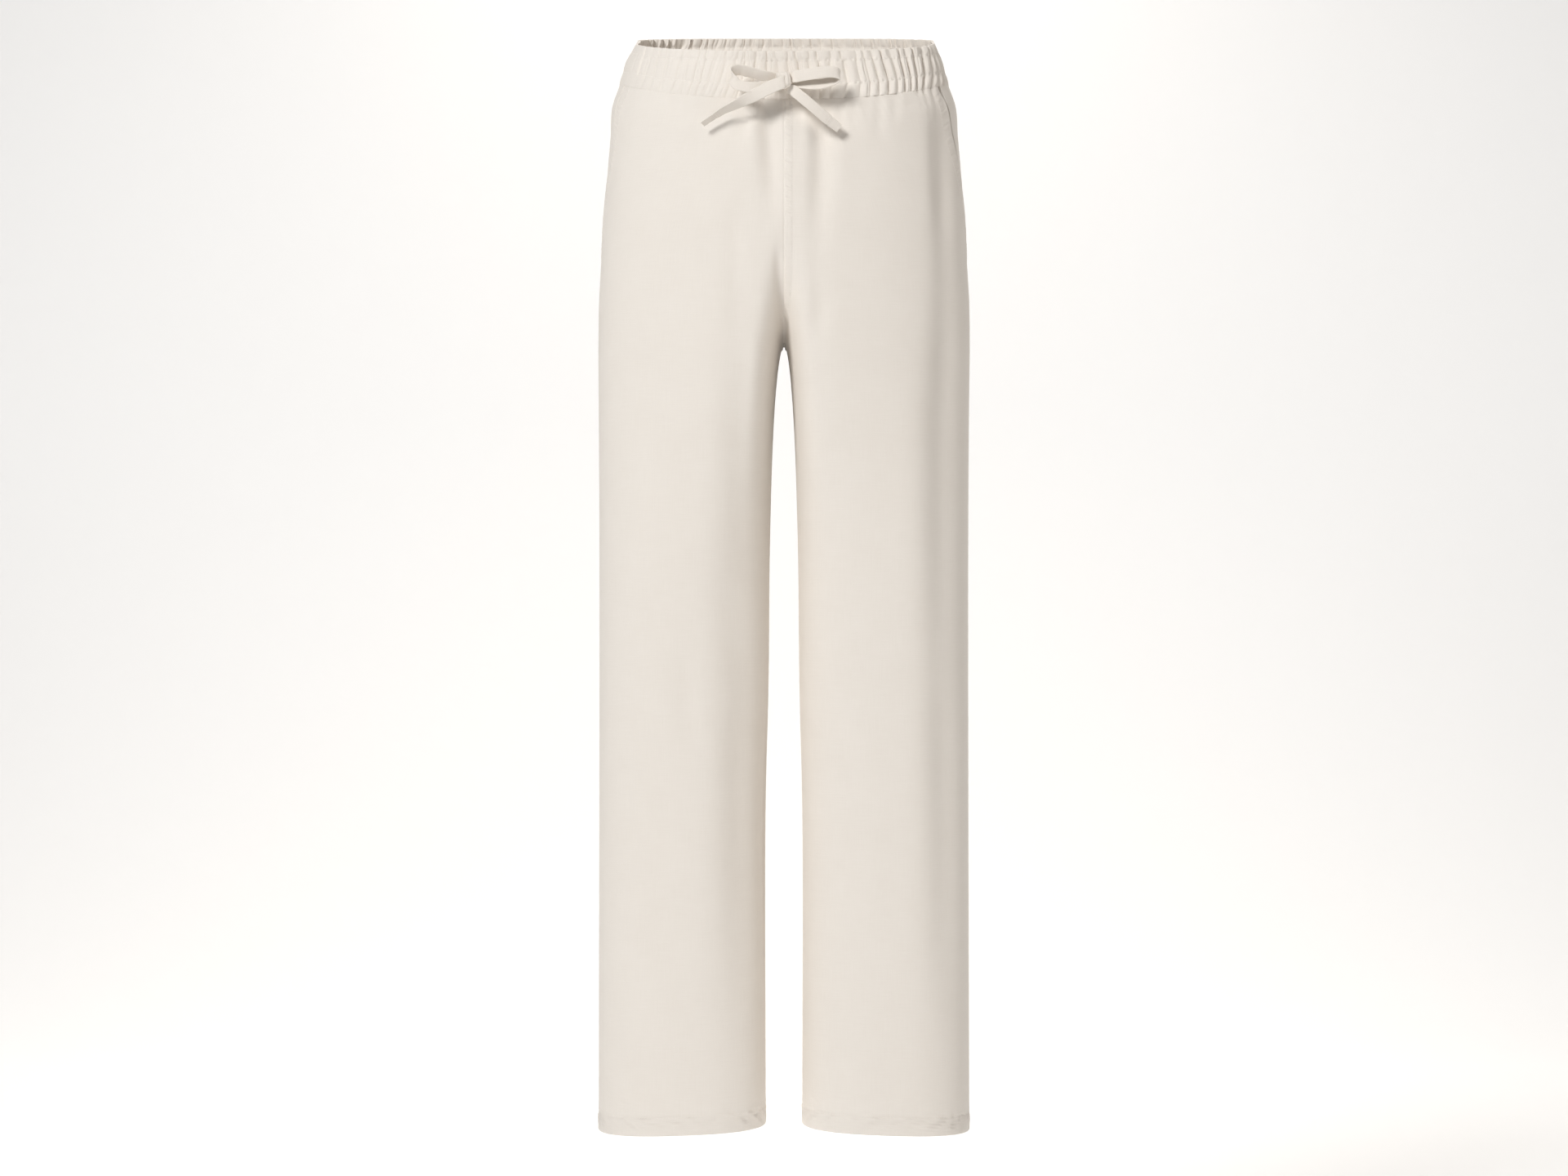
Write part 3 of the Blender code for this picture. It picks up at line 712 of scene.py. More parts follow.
def panel_levels(side):
    """Levels of a panel's rows, from the waist seam to the hem."""
    hip, fork, leg, hem = ROWS[side]
    fork_top = CROTCH_Z + CROTCH_RISE
    turns = np.radians(np.linspace(90.0, 0.0, fork + 1)[1:])
    shares = np.linspace(0.0, 1.0, leg + 1)[1:] ** LEG_ROW_POWER
    return np.concatenate(
        [
            np.linspace(SEAM_Z, fork_top, hip),
            CROTCH_Z + CROTCH_RISE * (1 - np.cos(turns)),
            CROTCH_Z + (HEM_ZONE_Z - CROTCH_Z) * shares,
            np.linspace(HEM_ZONE_Z, HEM_Z + HEM_EDGE_RADIUS, hem + 1)[1:],
        ]
    )


def add_panel(name, side, hand, material):
    """A front or back panel, from the waist seam to the turned-up hem."""
    z = panel_levels(side)[:, None]
    start = side_edge(side, hand, z)
    s = np.linspace(0.0, 1.0, COLUMNS[side] + 1)[None, :]
    u = s - EDGE_CROWDING * np.sin(2 * np.pi * s) / (2 * np.pi)
    t = start + (1 - start) * u
    outer, normals = panel_surface(side, hand, t, z)
    normals[0] = level(normals[0])
    doubled = smooth_between(*(HEM_STITCH_Z + step for step in HEM_STEP), z)
    wall = WALL + (HEM_WALL - WALL) * doubled
    inner = outer - normals * wall[..., None]
    inner[..., 0] = np.where(inner[..., 0] * hand < 0.0, 0.0, inner[..., 0])
    edge = []
    middle, half = (outer[-1] + inner[-1]) / 2, (outer[-1] - inner[-1]) / 2
    for degrees in HEM_EDGE_DEGREES:
        a = math.radians(degrees)
        drop = np.array([0.0, 0.0, -HEM_EDGE_RADIUS * math.sin(a)])
        edge.append((middle + half * math.cos(a) + drop, middle - half * math.cos(a) + drop))
    outside = np.concatenate([outer, [row[0] for row in edge]])
    inside = np.concatenate([inner, [row[1] for row in edge]])
    ring = np.concatenate([outside, inside[::-1]])
    half_uv = cloth_uv(outside, len(z) // 3)
    uv = np.concatenate([half_uv, half_uv[::-1]])
    return add_wall(name, ring, uv, material)


# ---------- pocket bearers

BEARER_REACH = {FRONT: 0.018, BACK: 0.010}  # how far it runs on under each panel
BEARER_ROWS = 84
BEARER_COLUMNS = (8, 16, 7)  # under the back, in the open beyond the slit, under the front
BEARER_DROP = 0.0002  # below the form in the open
SLIT_DEPTHS = {1: 0.0040, -1: 0.0016}  # at the front's edge, on the wearer's left and right
SLIT_STEPS = (0.0060, 0.0044, 0.0040, 0.0037, 0.0034, 0.0031, 0.0020, 0.0)  # from the edge
SLIT_WALL = (0.0040, 0.0031)  # from the edge, where the drop starts and is full
SLIT_OPEN = 0.0120  # depth of the opening over which the slit is whole
BEARER_BACK_DROP = 0.0014
BEARER_WALL = 0.0009
BEARER_END_GAP = 0.001  # above the pocket's lower end
EDGE_SAMPLES = 600
MIDDLE_SAMPLES = 800
SLIT_SAMPLES = 500


def t_at_distance(side, z, starts, ends, samples, distance):
    """t at a distance round the form from a start towards an end, for each level."""
    found = np.empty_like(z)
    for i, at in enumerate(z):
        t = np.linspace(starts[i], ends[i], samples)
        found[i] = np.interp(distance, run_along(form(side, t, at)), t)
    return found


def t_beyond(side, hand, z, distance):
    """t at a distance round the form from a panel's side edge, for each level."""
    start = side_edge(side, hand, z)
    return t_at_distance(side, z, start, np.minimum(start + 0.5, 1.0), EDGE_SAMPLES, distance)


def t_before_middle(side, z, distance):
    """t at a distance round the form from a panel's middle edge, for each level."""
    ends = np.full_like(z, 0.5)
    return t_at_distance(side, z, np.ones_like(z), ends, MIDDLE_SAMPLES, distance)


def slit_places(hand, z, count):
    """Share of a whole slit at each level, and t of the columns from the side seam to the edge."""
    whole = np.empty_like(z)
    found = np.empty((len(z), count + len(SLIT_STEPS) - 1))
    edges = side_edge(FRONT, hand, z)
    for i, at in enumerate(z):
        t = np.linspace(0.0, edges[i], SLIT_SAMPLES)
        length = run_along(form(FRONT, t, at))
        whole[i] = min(1.0, length[-1] / SLIT_OPEN)
        steps = length[-1] - whole[i] * np.array(SLIT_STEPS)
        reach = np.concatenate([np.linspace(0.0, steps[0], count + 1)[1:], steps[1:]])
        found[i] = np.interp(reach, length, t)
    return whole[:, None], found


def add_bearer(name, hand, material):
    """The side piece that shows in the pocket's opening and dives under the front panel's edge."""
    z = np.linspace(SEAM_Z, POCKET_END_Z + BEARER_END_GAP, BEARER_ROWS)
    back_end = t_beyond(BACK, hand, z, BEARER_REACH[BACK])[:, None]
    front_end = t_beyond(FRONT, hand, z, BEARER_REACH[FRONT])[:, None]
    edge_t = side_edge(FRONT, hand, z)[:, None]
    edge = form(FRONT, edge_t, z[:, None])
    under_back, in_open, under_front = BEARER_COLUMNS
    least, most = BEARER_DROP, SLIT_DEPTHS[hand]
    back_t = back_end * np.linspace(1.0, 0.0, under_back)[None, :]
    whole, open_t = slit_places(hand, z, in_open)
    front_t = edge_t + (front_end - edge_t) * np.linspace(0.0, 1.0, under_front)[None, 1:]
    from_slit = apart(form(FRONT, open_t, z[:, None]), edge)
    dive = smooth_between(*(whole * reach for reach in SLIT_WALL), from_slit)
    stretches = []
    for side, t, drop in (
        (BACK, back_t, BEARER_BACK_DROP),
        (FRONT, open_t, least + (most - least) * dive),
        (FRONT, front_t, most),
    ):
        points = form(side, t, z[:, None])
        drop = drop - held_creases(side, hand, np.broadcast_to(z[:, None], t.shape), points)
        stretches.append((points, form_normals(side, t, z[:, None]), drop[..., None]))
    points, normals, drop = (np.hstack(parts) for parts in zip(*stretches))
    normals = level(normals)
    outer = (points - normals * drop) * (hand, 1.0, 1.0)
    inner = (points - normals * (drop + BEARER_WALL)) * (hand, 1.0, 1.0)
    ring = np.concatenate([outer, inner[::-1]])
    half_uv = cloth_uv(outer, 0)
    uv = np.concatenate([half_uv, half_uv[::-1]])
    return add_wall(name, ring, uv, material)


# ---------- waistband

LOWER_STITCH = 0.0136  # heights of the two rows above the waist seam
UPPER_STITCH = 0.0360
BAND_HEIGHT = 0.0450
BAND_OUTSIDE = metres((
    # height above the waist seam, bulge, gather height, in millimetres
    (0, -0.2, 0.9),
    (1.6, 0.2, 1.3),
    (6.8, 0.7, 1.8),
    (11.2, 0.6, 1.5),
    (13.6, 0.3, 1),
    (16, 0.6, 1.4),
    (25, 1.1, 2),
    (33.6, 0.7, 1.5),
    (36, 0.4, 1.1),
    (38.4, 0.6, 1.4),
    (45, 0.6, 1.4),
))
BAND_INSIDE = metres((
    # height above the waist seam, depth below the form, gather height, in millimetres
    (0, 2, 0),
    (13.6, 2.1, 0.2),
    (15.8, 2.5, 0.4),
    (25, 2.7, 0.6),
    (33.8, 2.3, 0.8),
    (36, 1.4, 1),
    (38.2, 1.8, 2),
    (45, 1.6, 2),
))
BAND_EDGE_DEGREES = (35.0, 70.0, 110.0, 145.0)
BAND_EDGE_RISE = 0.0007
INSIDE_ROUNDNESS = 0.45  # of the ridges seen from inside, beside those outside
BAND_LEAST_WALL = 0.0008
BAND_ROWS = 46
BAND_UV_ROW = 20
SAMPLES_A_GATHER = 20
GATHER_SLANTS = ((0.50, 5.2, 0.4), (0.35, 13.0, 1.9))  # drift over the band's height
LOWER_SLANT = 0.60  # of a gather, by which the folds lean below the lower row at the left side
UPPER_SHIFT = 0.16  # of a gather, between the folds above and below the upper row
FOLD_BOW = 0.14  # of a gather, by which the folds between the rows curve
SIDE_LEANS = {1: 0.0026, -1: 0.0070}  # of the top edge towards the wearer, at the side seams
SIDE_LEAN_FROM = 0.018  # height
SIDE_LEAN_REACH = 0.030  # round the band
ROW_PUCKERS = (0.00045, 2.13, 0.0016)  # height, waves for each gather, reach from a stitch row
BAND_GROOVES = {
    # place, height from, height to, half width, depth
    FRONT: (
        (0.905, 0.012, 0.040, 0.0011, 0.0022),
        (0.925, 0.014, 0.037, 0.0012, 0.0013),
        (0.880, 0.014, 0.034, 0.0020, 0.0009),
        (-0.700, 0.014, 0.044, 0.0013, 0.0012),
        (-0.660, 0.016, 0.032, 0.0014, 0.0007),
    ),
    BACK: (),
}
BAND_HALF_ARC = 0.19  # metres from the side seam to the middle, for grooves and leans
GROOVE_BLUR = 0.003


def slanted_count(side, place, height):
    """The gathers' count at a place, drifting with height as the folds lean and curve."""
    count = gather_count(side, place)
    for far, often, start in GATHER_SLANTS:
        count = count + far * (height / BAND_HEIGHT - 0.5) * np.sin(often * place + start)
    below = np.clip((LOWER_STITCH - height) / LOWER_STITCH, 0.0, 1.0)
    between = np.clip((height - LOWER_STITCH) / (UPPER_STITCH - LOWER_STITCH), 0.0, 1.0)
    above = smooth_between(UPPER_STITCH - 0.001, UPPER_STITCH + 0.003, height)
    number = np.round(count)
    curve = (uneven(number, 7.0) - 0.5) * 2 * FOLD_BOW * np.cos(np.pi * (count - number)) ** 2
    count = count + LOWER_SLANT * below * (place + 1) / 2 + curve * np.sin(np.pi * between)
    return count + UPPER_SHIFT * above * np.sin(2.9 * gather_count(side, place))


def band_offset(side, place, height, inside):
    """How far the band's outside or inside stands out from the form."""
    count = slanted_count(side, place, height)
    full = through(FULLNESS[side], 1, place)
    if inside:
        folds = through(BAND_INSIDE, 2, height) * gathered(count + 0.5, full, INSIDE_ROUNDNESS)
        offset = -through(BAND_INSIDE, 1, height) - folds
        outside = band_offset(side, place, height, inside=False)
        return np.minimum(offset, outside - BAND_LEAST_WALL)
    offset = through(BAND_OUTSIDE, 1, height)
    offset = offset + through(BAND_OUTSIDE, 2, height) * gathered(count, full)
    high, waves, reach = ROW_PUCKERS
    rows = near(height - LOWER_STITCH, reach) + near(height - UPPER_STITCH, reach)
    offset = offset + high * full * rows * np.sin(2 * np.pi * waves * count)
    for at, low, top, width, deep in BAND_GROOVES[side]:
        span = smooth_between(low - GROOVE_BLUR, low + GROOVE_BLUR, height)
        span = span * smooth_between(top + GROOVE_BLUR, top - GROOVE_BLUR, height)
        offset = offset - deep * span * near((place - at) * BAND_HALF_ARC, width)
    return offset


def side_lean(place, height):
    """How far the ruffled top leans inward beside the side seams."""
    most = np.where(place < 0, SIDE_LEANS[-1], SIDE_LEANS[1])
    up = np.clip((height - SIDE_LEAN_FROM) / (BAND_HEIGHT - SIDE_LEAN_FROM), 0.0, 1.0)
    return most * up**2 * near((1 - np.abs(place)) * BAND_HALF_ARC, SIDE_LEAN_REACH)


def band_surface(side, place, height, inside=False):
    """Points of the band's outside or inside and the outward directions there."""
    place, height = np.broadcast_arrays(place, height)
    arc_t, arc_share = shares_of_arc(side)
    t = np.interp(1 - np.abs(place), arc_share, arc_t)
    z = SEAM_Z + height
    points = form(side, t, z)
    normals = level(form_normals(side, t, z))
    turn = np.where(place < 0, -1.0, 1.0)[..., None] * (1.0, 0.0, 0.0) + (0.0, 1.0, 1.0)
    offset = band_offset(side, place, height, inside) - side_lean(place, height)
    placed = (points + normals * offset[..., None]) * turn
    placed[..., 0] *= place != 0
    return placed, normals * turn


def add_waistband(name, side, material):
    """Half of the gathered casing, with the ruffled heading above it."""
    place = np.linspace(-1.0, 1.0, SAMPLES_A_GATHER * GATHERS[side] + 1)[None, :]
    height = np.linspace(0.0, BAND_HEIGHT - BAND_EDGE_RISE, BAND_ROWS)[:, None]
    outer, _ = band_surface(side, place, height)
    inner, _ = band_surface(side, place, height, inside=True)
    middle, half = (outer[-1] + inner[-1]) / 2, (outer[-1] - inner[-1]) / 2
    full = through(FULLNESS[side], 1, place[0])
    rise = BAND_EDGE_RISE * (1 + 0.4 * gathered(slanted_count(side, place[0], BAND_HEIGHT), full))
    edge = []
    for degrees in BAND_EDGE_DEGREES:
        a = math.radians(degrees)
        row = middle + half * math.cos(a)
        row[:, 2] += rise * math.sin(a)
        edge.append(row)
    ring = np.concatenate([outer, edge, inner[::-1]])
    return add_wall(name, ring, cloth_uv(ring, BAND_UV_ROW), material)


# ---------- stitches

THREAD = 0.00015  # radius
BAND_THREAD = 0.00020
STITCH_LENGTH = 0.0023
STITCH_STEP = 0.0032
STITCH_SIDES = 5
STITCH_ENDS = (-1.0, -0.78, 0.78, 1.0)
STITCH_TAPER = (0.35, 1.0, 1.0, 0.35)
STITCH_SINK = 0.55  # of its radius, how far a thread's middle stands out of the cloth
STITCH_SECTION = (1.25, 0.9)  # of its radius, across and out
BAND_STITCH_END = 0.997
BAND_STITCH_SAMPLES = 3000


def stitches_along(points, normals, step=STITCH_STEP, length=STITCH_LENGTH):
    """Starts, ends and outward directions of evenly spaced stitches on a line of points."""
    run = run_along(points)
    at = np.arange(step / 2, run[-1] - length, step)

    def read(values, places):
        return np.stack([np.interp(places, run, values[:, i]) for i in range(3)], axis=-1)

    return read(points, at), read(points, at + length), read(normals, at + length / 2)


def add_stitches(name, lines, material, radius=THREAD):
    """One joined mesh of short threads that lie on the cloth along several lines."""
    starts, ends, outs = (np.concatenate(parts) for parts in zip(*lines))
    middle, reach = (starts + ends) / 2, (ends - starts) / 2
    along = reach / np.linalg.norm(reach, axis=-1, keepdims=True)
    side = np.cross(along, outs)
    side /= np.linalg.norm(side, axis=-1, keepdims=True)
    out = np.cross(side, along)
    rings = []
    turns = full_turn(STITCH_SIDES)
    for end, taper in zip(STITCH_ENDS, STITCH_TAPER):
        centre = middle + reach * end + out * radius * (STITCH_SINK * taper)
        for a in turns:
            spoke = side * math.cos(a) * STITCH_SECTION[0] + out * math.sin(a) * STITCH_SECTION[1]
            rings.append(centre + spoke * radius * taper)
    points = np.stack(rings, axis=1)
    pattern = [face[:1] + face[:0:-1] for face in tube_faces(len(STITCH_ENDS), STITCH_SIDES)]
    count, size = points.shape[:2]
    faces = [[i * size + corner for corner in face] for i in range(count) for face in pattern]
    uv = np.zeros((count * size, 2))
    return add_mesh(name, points, faces, uv, material)


def band_stitch_lines(side, inside):
    """The two rows of sewing round half of the band."""
    place = np.linspace(-BAND_STITCH_END, BAND_STITCH_END, BAND_STITCH_SAMPLES)
    lines = []
    for height in (LOWER_STITCH, UPPER_STITCH):
        points, normals = band_surface(side, place, height, inside)
        lines.append(stitches_along(points, normals * (-1.0 if inside else 1.0)))
    return lines


def panel_stitch_lines(side, hand):
    """The hem's sewing on a panel, and on the fronts the pocket's and the middle seam's."""
    t = np.linspace(0.004, 0.996, 700)
    points, normals = panel_surface(side, hand, t, np.full_like(t, HEM_STITCH_Z))
    lines = [stitches_along(points, normals)]
    if side == FRONT:
        z = np.linspace(SEAM_Z - 0.001, POCKET_END_Z + 0.004, 160)
        t = t_beyond(side, hand, z, POCKET_STITCH)
        points, normals = panel_surface(side, hand, t, z)
        lines.append(stitches_along(points, normals))
    if hand > 0:
        z = np.linspace(SEAM_Z - 0.001, CROTCH_Z + 0.012, 300)
        t = t_before_middle(side, z, TOPSTITCH)
        points, normals = panel_surface(side, hand, t, z)
        lines.append(stitches_along(points, normals))
    return lines


# ---------- the tie

TAPE_THICK = 0.0015
TAPE_WIDTH = 0.0104  # of the sewn band, laid flat
TAPE_SIDES = 20
TAPE_SQUARENESS = 0.35  # power of the rounding of the tape's section
STRAND_SAMPLES = 260
STRANDS = {
    # the middle line from the band, through the knot and the loop, to the tail's end, and the
    # tape's width, in millimetres; how far the top of its width leans back, in degrees
    "tie_strand_left": (
        # x, y, z, width, lean
        (2, -111.5, -31.5, 7, 0),
        (3, -116.5, -30.5, 7, 0),
        (4.8, -122, -30, 9, 4),
        (8.5, -127.2, -30, 11.2, 5),
        (19.6, -130, -28.5, 11.5, 6),
        (34.2, -131, -26.4, 11.5, 6),
        (43, -130.6, -25.7, 11.2, 4),
        (49.6, -129, -26.6, 10.6, 4),
        (52.2, -126.4, -28.6, 10, 14),
        (50.2, -123.6, -31.8, 10, 30),
        (42.5, -123.6, -34.4, 11.2, 32),
        (33.5, -124.2, -36.4, 12, 30),
        (23, -124, -36.5, 11.6, 30),
        (13, -122.5, -36, 10, 32),
        (4.5, -121.2, -35.4, 8.4, 16),
        (3, -123, -38.4, 8.5, 0),
        (8.4, -125.6, -42.4, 10, 0),
        (16.5, -126.8, -49, 10.4, 0),
        (24.5, -126.4, -55.6, 10.6, 2),
        (32.5, -125, -62.2, 10.6, 2),
        (39.5, -123.2, -68, 10.6, 0),
        (46, -121, -73, 10.4, -6),
        (52.2, -118.4, -77.6, 9.8, -14),
    ),
    "tie_strand_right": (
        (-2, -111.5, -31.5, 7, 0),
        (-3.4, -116, -30.5, 7, 0),
        (-6.6, -119.5, -30.4, 9, -12),
        (-11.8, -121.5, -29.8, 10.6, -24),
        (-25.8, -122.2, -26.4, 11, -30),
        (-35.2, -122.5, -24, 11, -30),
        (-43, -123.4, -22.6, 10.8, -24),
        (-47.8, -125.6, -24.6, 10.6, -10),
        (-48.6, -128.4, -30.6, 10.4, 0),
        (-45.6, -130.4, -36.6, 10.4, 6),
        (-37, -130.8, -39.6, 10.4, 8),
        (-26.8, -129.2, -40, 10.4, 8),
        (-16.6, -125.8, -38.6, 10, 6),
        (-7, -123, -35.8, 8.5, 4),
        (1, -126.2, -33, 8.5, 0),
        (0.6, -131.8, -34.8, 11, 0),
        (-10.4, -133.2, -39.6, 12.2, 0),
        (-22.7, -131.2, -45.4, 12, -10),
        (-37.4, -127.2, -52, 11.6, -34),
        (-48.2, -124, -57, 11.4, -52),
        (-57.5, -121.2, -61, 10.8, -58),
        (-64, -119.4, -64.8, 10, -58),
        (-77.2, -116.6, -73.2, 9.2, -56),
    ),
}
STRAND_UNITS = (1000, 1000, 1000, 1000, 1)
STRAND_NODES = {
    "tie_strand_left": ("tie_loop_left", "tie_tail_left"),
    "tie_strand_right": ("tie_loop_right", "tie_tail_right"),
}
TIP_SHARE = 0.065  # share of a strand's length in its folded and sewn end
TIP_PINCH = 0.16
TIP_PINCH_REACH = 0.006  # share of a strand's length
TIP_TAPER = 0.12
TAPE_ROUNDNESS = 0.75  # power of the rounding of the tape's edges
TAPE_RIPPLE = (0.10, 31, 7)  # share of the thickness, waves along a strand, waves of their strength
TIP_SEWING = {"step": 0.0019, "length": 0.0015}
TIP_SEWING_REACH = 0.42  # of the tape's width, each way
TIP_SEWING_SAMPLES = 30
TIP_SEWING_BACK = (0, 3, 6)  # samples back from the tip's start
TIP_THREAD = 0.00016

KNOT_CENTRE = (-0.0004, -0.1222, -0.0327)
KNOT_HALF = (0.0070, 0.0108, 0.0077)
KNOT_POWER = 0.50
KNOT_RINGS = 48
KNOT_SIDES = 72
KNOT_SWAY = (0.0008, 0.6)  # how far its folds wind, and where they start
KNOT_FOLDS = (
    # x from the knot's middle, half width, depth
    (-0.0036, 0.0007, 0.0006),
    (0.0012, 0.0006, 0.0004),
    (0.0048, 0.0006, 0.0006),
)


def strand_line(route):
    """Evenly spaced centres, widths and leans on a smooth curve through a route's rows."""
    rows = np.array(route) / STRAND_UNITS
    chords = run_along(rows[:, :3])
    table = np.column_stack([chords, rows]).tolist()
    dense = np.linspace(0.0, chords[-1], 6 * STRAND_SAMPLES)
    values = np.stack([through(table, column, dense) for column in range(1, 6)], axis=-1)
    length = run_along(values[:, :3])
    even = np.linspace(0.0, length[-1], STRAND_SAMPLES)
    read = np.stack([np.interp(even, length, values[:, i]) for i in range(5)], axis=-1)
    return read[:, :3], read[:, 3], np.radians(read[:, 4]), length[-1]


def full_turn(count):
    """Evenly spaced angles all the way round."""
    return 2 * np.pi * np.arange(count) / count


def squared(wave, power):
    """A wave drawn out towards a square one (power under 1), with its sign kept."""
    return np.sign(wave) * np.abs(wave) ** power


def tape_frames(centres, leans):
    """Directions along the tape, up its width and out of its face."""
    along = np.gradient(centres, axis=0)
    along /= np.linalg.norm(along, axis=-1, keepdims=True)
    up = np.stack([np.zeros_like(leans), np.sin(leans), np.cos(leans)], axis=-1)
    up -= along * np.sum(along * up, axis=-1, keepdims=True)
    up /= np.linalg.norm(up, axis=-1, keepdims=True)
    return along, up, np.cross(along, up)


def add_strand(name, material, thread):
    """One strand of the tie: a flat sewn tape."""
    centres, widths, leans, length = strand_line(STRANDS[name])
    _, up, out = tape_frames(centres, leans)
    share = np.linspace(0.0, 1.0, STRAND_SAMPLES)
    pinch = 1 - TIP_PINCH * near(share - (1 - TIP_SHARE), TIP_PINCH_REACH)
    pinch *= 1 - TIP_TAPER * smooth_between(1 - TIP_SHARE, 1 - 0.6 * TIP_SHARE, share)
    turns = full_turn(TAPE_SIDES)
    across = squared(np.cos(turns), TAPE_ROUNDNESS)
    depth = squared(np.sin(turns), TAPE_SQUARENESS)
    high, waves, slow_waves = TAPE_RIPPLE
    ripple = np.sin(2 * np.pi * share * waves) * np.sin(2 * np.pi * share * slow_waves + 1.0)
    ripple = 1 + high * ripple
    half_width = (widths * pinch / 2)[:, None, None]
    half_thick = (TAPE_THICK * ripple / 2)[:, None, None]
    points = centres[:, None] + up[:, None] * across[None, :, None] * half_width
    points = points + out[:, None] * depth[None, :, None] * half_thick
    around = TAPE_WIDTH * np.cos(turns) / 2
    run = length * share
    uv = np.stack(np.broadcast_arrays(around[None, :], run[:, None]), axis=-1).reshape(-1, 2)
    faces = tube_faces(STRAND_SAMPLES, TAPE_SIDES)
    strand = add_mesh(name, points, faces, uv, material)
    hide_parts(*STRAND_NODES[name])
    lines = []
    at = int((1 - TIP_SHARE) * STRAND_SAMPLES)
    spread = np.linspace(-TIP_SEWING_REACH, TIP_SEWING_REACH, TIP_SEWING_SAMPLES)[:, None]
    for back in TIP_SEWING_BACK:
        line = centres[at - back] + up[at - back] * (spread * widths[at - back])
        for sign in (1.0, -1.0):
            face = line + out[at - back] * sign * TAPE_THICK * 0.55
            directions = np.tile(out[at - back] * sign, (TIP_SEWING_SAMPLES, 1))
            lines.append(stitches_along(face, directions, **TIP_SEWING))
    sewing = add_stitches(name + "_sewing", lines, thread, radius=TIP_THREAD)
    return strand


def add_knot(material):
    """The turn of tape round both strands: a rounded block with soft folds down its front."""
    turns = full_turn(KNOT_SIDES)
    shares = np.cos(np.pi * (np.arange(KNOT_RINGS) + 0.5) / KNOT_RINGS)
    half = np.array(KNOT_HALF)
    x = half[0] * squared(shares, KNOT_POWER)
    size = np.sqrt(1 - shares**2) ** KNOT_POWER
    y = squared(np.cos(turns), KNOT_POWER)
    z = squared(np.sin(turns), KNOT_POWER)
    fold = np.zeros_like(x)
    for at, width, deep in KNOT_FOLDS:
        fold += deep * near(x - at, width)
    radial = (size - fold / half[1])[:, None]
    sway = KNOT_SWAY[0] * np.sin(2.0 * turns + KNOT_SWAY[1])
    points = np.stack([x[:, None] + sway, half[1] * radial * y, half[2] * radial * z], axis=-1)
    points = points + np.array(KNOT_CENTRE)
    uv = np.stack(np.broadcast_arrays(x[:, None], turns[None, :] * half[2]), axis=-1).reshape(-1, 2)
    faces = tube_faces(KNOT_RINGS, KNOT_SIDES)
    knot = add_mesh("tie_knot_wrap", points, faces, uv, material)
    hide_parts("tie_knot")
    return knot


# ---------- materials

ECRU_LIGHT = (0.835, 0.785, 0.725, 1.0)
ECRU_SHADE = (0.805, 0.752, 0.690, 1.0)
# the tie is of the same cloth; these ecru colours are a little darker and warmer than the cloth's,
# and that shift is painted shade
TAPE_LIGHT = (0.825, 0.770, 0.705, 1.0)
TAPE_SHADE = (0.795, 0.738, 0.672, 1.0)
# lighter than the cloth: painted highlight, so that the stitch rows show as light dots
THREAD_PAINTED_HIGHLIGHT = (0.920, 0.885, 0.840, 1.0)
WARP_SLUB = (1500.0, 38.0)  # waves a metre across and along the cloth
WEFT_SLUB = (46.0, 1300.0)
TWILL_RIBS = (900.0, 900.0)
MOTTLE = 26.0
MOTTLE_SHARE = 0.8
BLEND_RANGE = (0.95, 1.75)  # of the summed noises, from the shaded colour to the light one
RIB_SHARE = 0.25
BUMP = {"Strength": 0.3, "Distance": 0.00015}
CLOTH_SURFACE = {
    "Roughness": 0.84,
    "Specular IOR Level": 0.25,
    "Sheen Weight": 0.22,
    "Sheen Roughness": 0.45,
    "Sheen Tint": (1.0, 0.97, 0.93, 1.0),
}
THREAD_NOISE = 900.0  # waves a metre
THREAD_ROUGHNESS = 0.6


def add_node(tree, kind, links=None, **settings):
    """A shader node with its settings, its unlinked values and its links."""
    node = tree.nodes.new(kind)
    for name, value in settings.items():
        setattr(node, name, value)
    for socket, source in (links or {}).items():
        if isinstance(source, bpy.types.NodeSocket):
            tree.links.new(source, node.inputs[socket])
        else:
            node.inputs[socket].default_value = source
    return node


def maths(tree, operation, *values):
    """The result of a maths node on values or other nodes' results."""
    made = add_node(tree, "ShaderNodeMath", dict(enumerate(values)), operation=operation)
    return made.outputs[0]


def stretched_noise(tree, uv, scale, detail):
    """Noise drawn out along the cloth's threads."""
    moved = add_node(tree, "ShaderNodeMapping", {"Vector": uv, "Scale": (*scale, 1.0)}).outputs[0]
    settings = {"Vector": moved, "Scale": 1.0, "Detail": detail, "Roughness": 0.55}
    return add_node(tree, "ShaderNodeTexNoise", settings).outputs["Fac"]


def mix_base_colour(tree, shader, share, first, second):
    """Give the surface a colour between two, by a share that varies over it."""
    mixed = add_node(tree, "ShaderNodeMix", {"Factor": share, 6: first, 7: second}, data_type="RGBA")
    tree.links.new(mixed.outputs[2], shader.inputs["Base Color"])


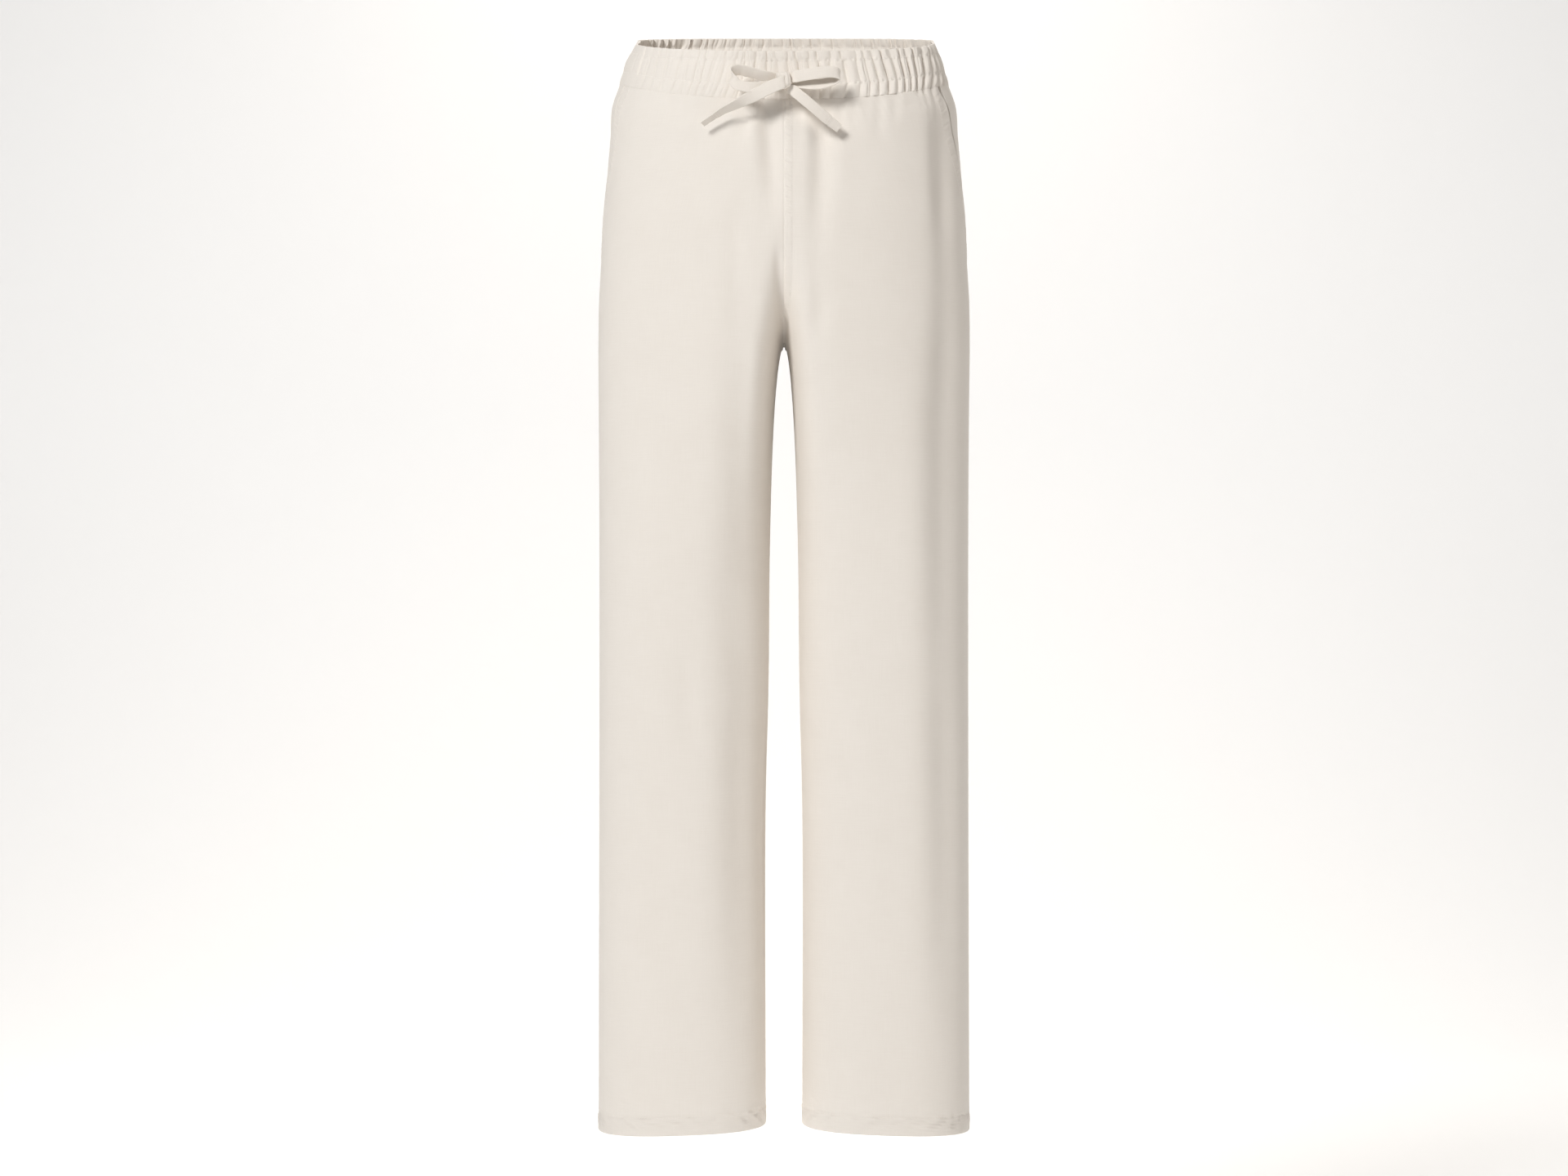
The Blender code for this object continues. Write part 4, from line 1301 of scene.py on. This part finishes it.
def cloth_material(name, light, shade):
    """Fine twill: uneven threads both ways, diagonal ribs, a soft nap."""
    made, shader = add_material(name)
    tree = made.node_tree
    uv = add_node(tree, "ShaderNodeUVMap", uv_map=UV_NAME).outputs[0]
    warp = stretched_noise(tree, uv, WARP_SLUB, 2.0)
    weft = stretched_noise(tree, uv, WEFT_SLUB, 2.0)
    mottle = stretched_noise(tree, uv, (MOTTLE, MOTTLE), 3.0)
    threads = maths(tree, "ADD", warp, weft)
    blend = maths(tree, "MULTIPLY_ADD", mottle, MOTTLE_SHARE, threads)
    low, high = BLEND_RANGE
    limits = {"Value": blend, "From Min": low, "From Max": high, "To Min": 0.0, "To Max": 1.0}
    share = add_node(tree, "ShaderNodeMapRange", limits).outputs[0]
    mix_base_colour(tree, shader, share, shade, light)
    across, along = add_node(tree, "ShaderNodeSeparateXYZ", {0: uv}).outputs[:2]
    slanted = maths(tree, "MULTIPLY", along, TWILL_RIBS[1])
    ribs = maths(tree, "MULTIPLY_ADD", across, TWILL_RIBS[0], slanted)
    wave = maths(tree, "SINE", maths(tree, "MULTIPLY", ribs, 2 * math.pi))
    height = maths(tree, "MULTIPLY_ADD", wave, RIB_SHARE, threads)
    bump = add_node(tree, "ShaderNodeBump", {**BUMP, "Height": height})
    tree.links.new(bump.outputs[0], shader.inputs["Normal"])
    for socket, value in CLOTH_SURFACE.items():
        shader.inputs[socket].default_value = value
    return made


def thread_material():
    """Sewing thread, a little glossier than the cloth, its colour mixed by noise between the cloth's
    and a lighter one that is painted highlight.
    """
    made, shader = add_material("sewing_thread")
    tree = made.node_tree
    place = add_node(tree, "ShaderNodeTexCoord").outputs["Object"]
    settings = {"Vector": place, "Scale": THREAD_NOISE, "Detail": 1.0}
    noise = add_node(tree, "ShaderNodeTexNoise", settings).outputs["Fac"]
    # from the cloth's colour to the lighter painted highlight
    mix_base_colour(tree, shader, noise, ECRU_LIGHT, THREAD_PAINTED_HIGHLIGHT)
    shader.inputs["Roughness"].default_value = THREAD_ROUGHNESS
    return made


# ---------- the garment

HANDS = (("left", 1), ("right", -1))


def add_garment():
    """Every piece, with the solids that it replaces hidden."""
    twill = cloth_material("ecru_twill", ECRU_LIGHT, ECRU_SHADE)
    # the tape's colours carry painted shade over the cloth's own ecru
    tape = cloth_material("ecru_tape", TAPE_LIGHT, TAPE_SHADE)
    thread = thread_material()
    for name in STRANDS:
        add_strand(name, tape, thread)
    add_knot(tape)
    for word, hand in HANDS:
        for kind, side in (("front", FRONT), ("back", BACK)):
            node = f"{kind}_{word}"
            panel = add_panel(node + "_cloth", side, hand, twill)
            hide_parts(node)
            sewing = add_stitches(node + "_sewing", panel_stitch_lines(side, hand), thread)
        node = f"pocket_bearer_{word}"
        bearer = add_bearer(node + "_cloth", hand, twill)
        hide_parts(node)
    for word, side in (("front", FRONT), ("back", BACK)):
        node = f"waistband_{word}"
        band = add_waistband(node + "_cloth", side, twill)
        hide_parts(node)
        lines = band_stitch_lines(side, inside=False) + band_stitch_lines(side, inside=True)
        sewing = add_stitches(node + "_sewing", lines, thread, radius=BAND_THREAD)


add_camera()
add_stage()
add_lights()
add_garment()

bpy.context.view_layer.update()
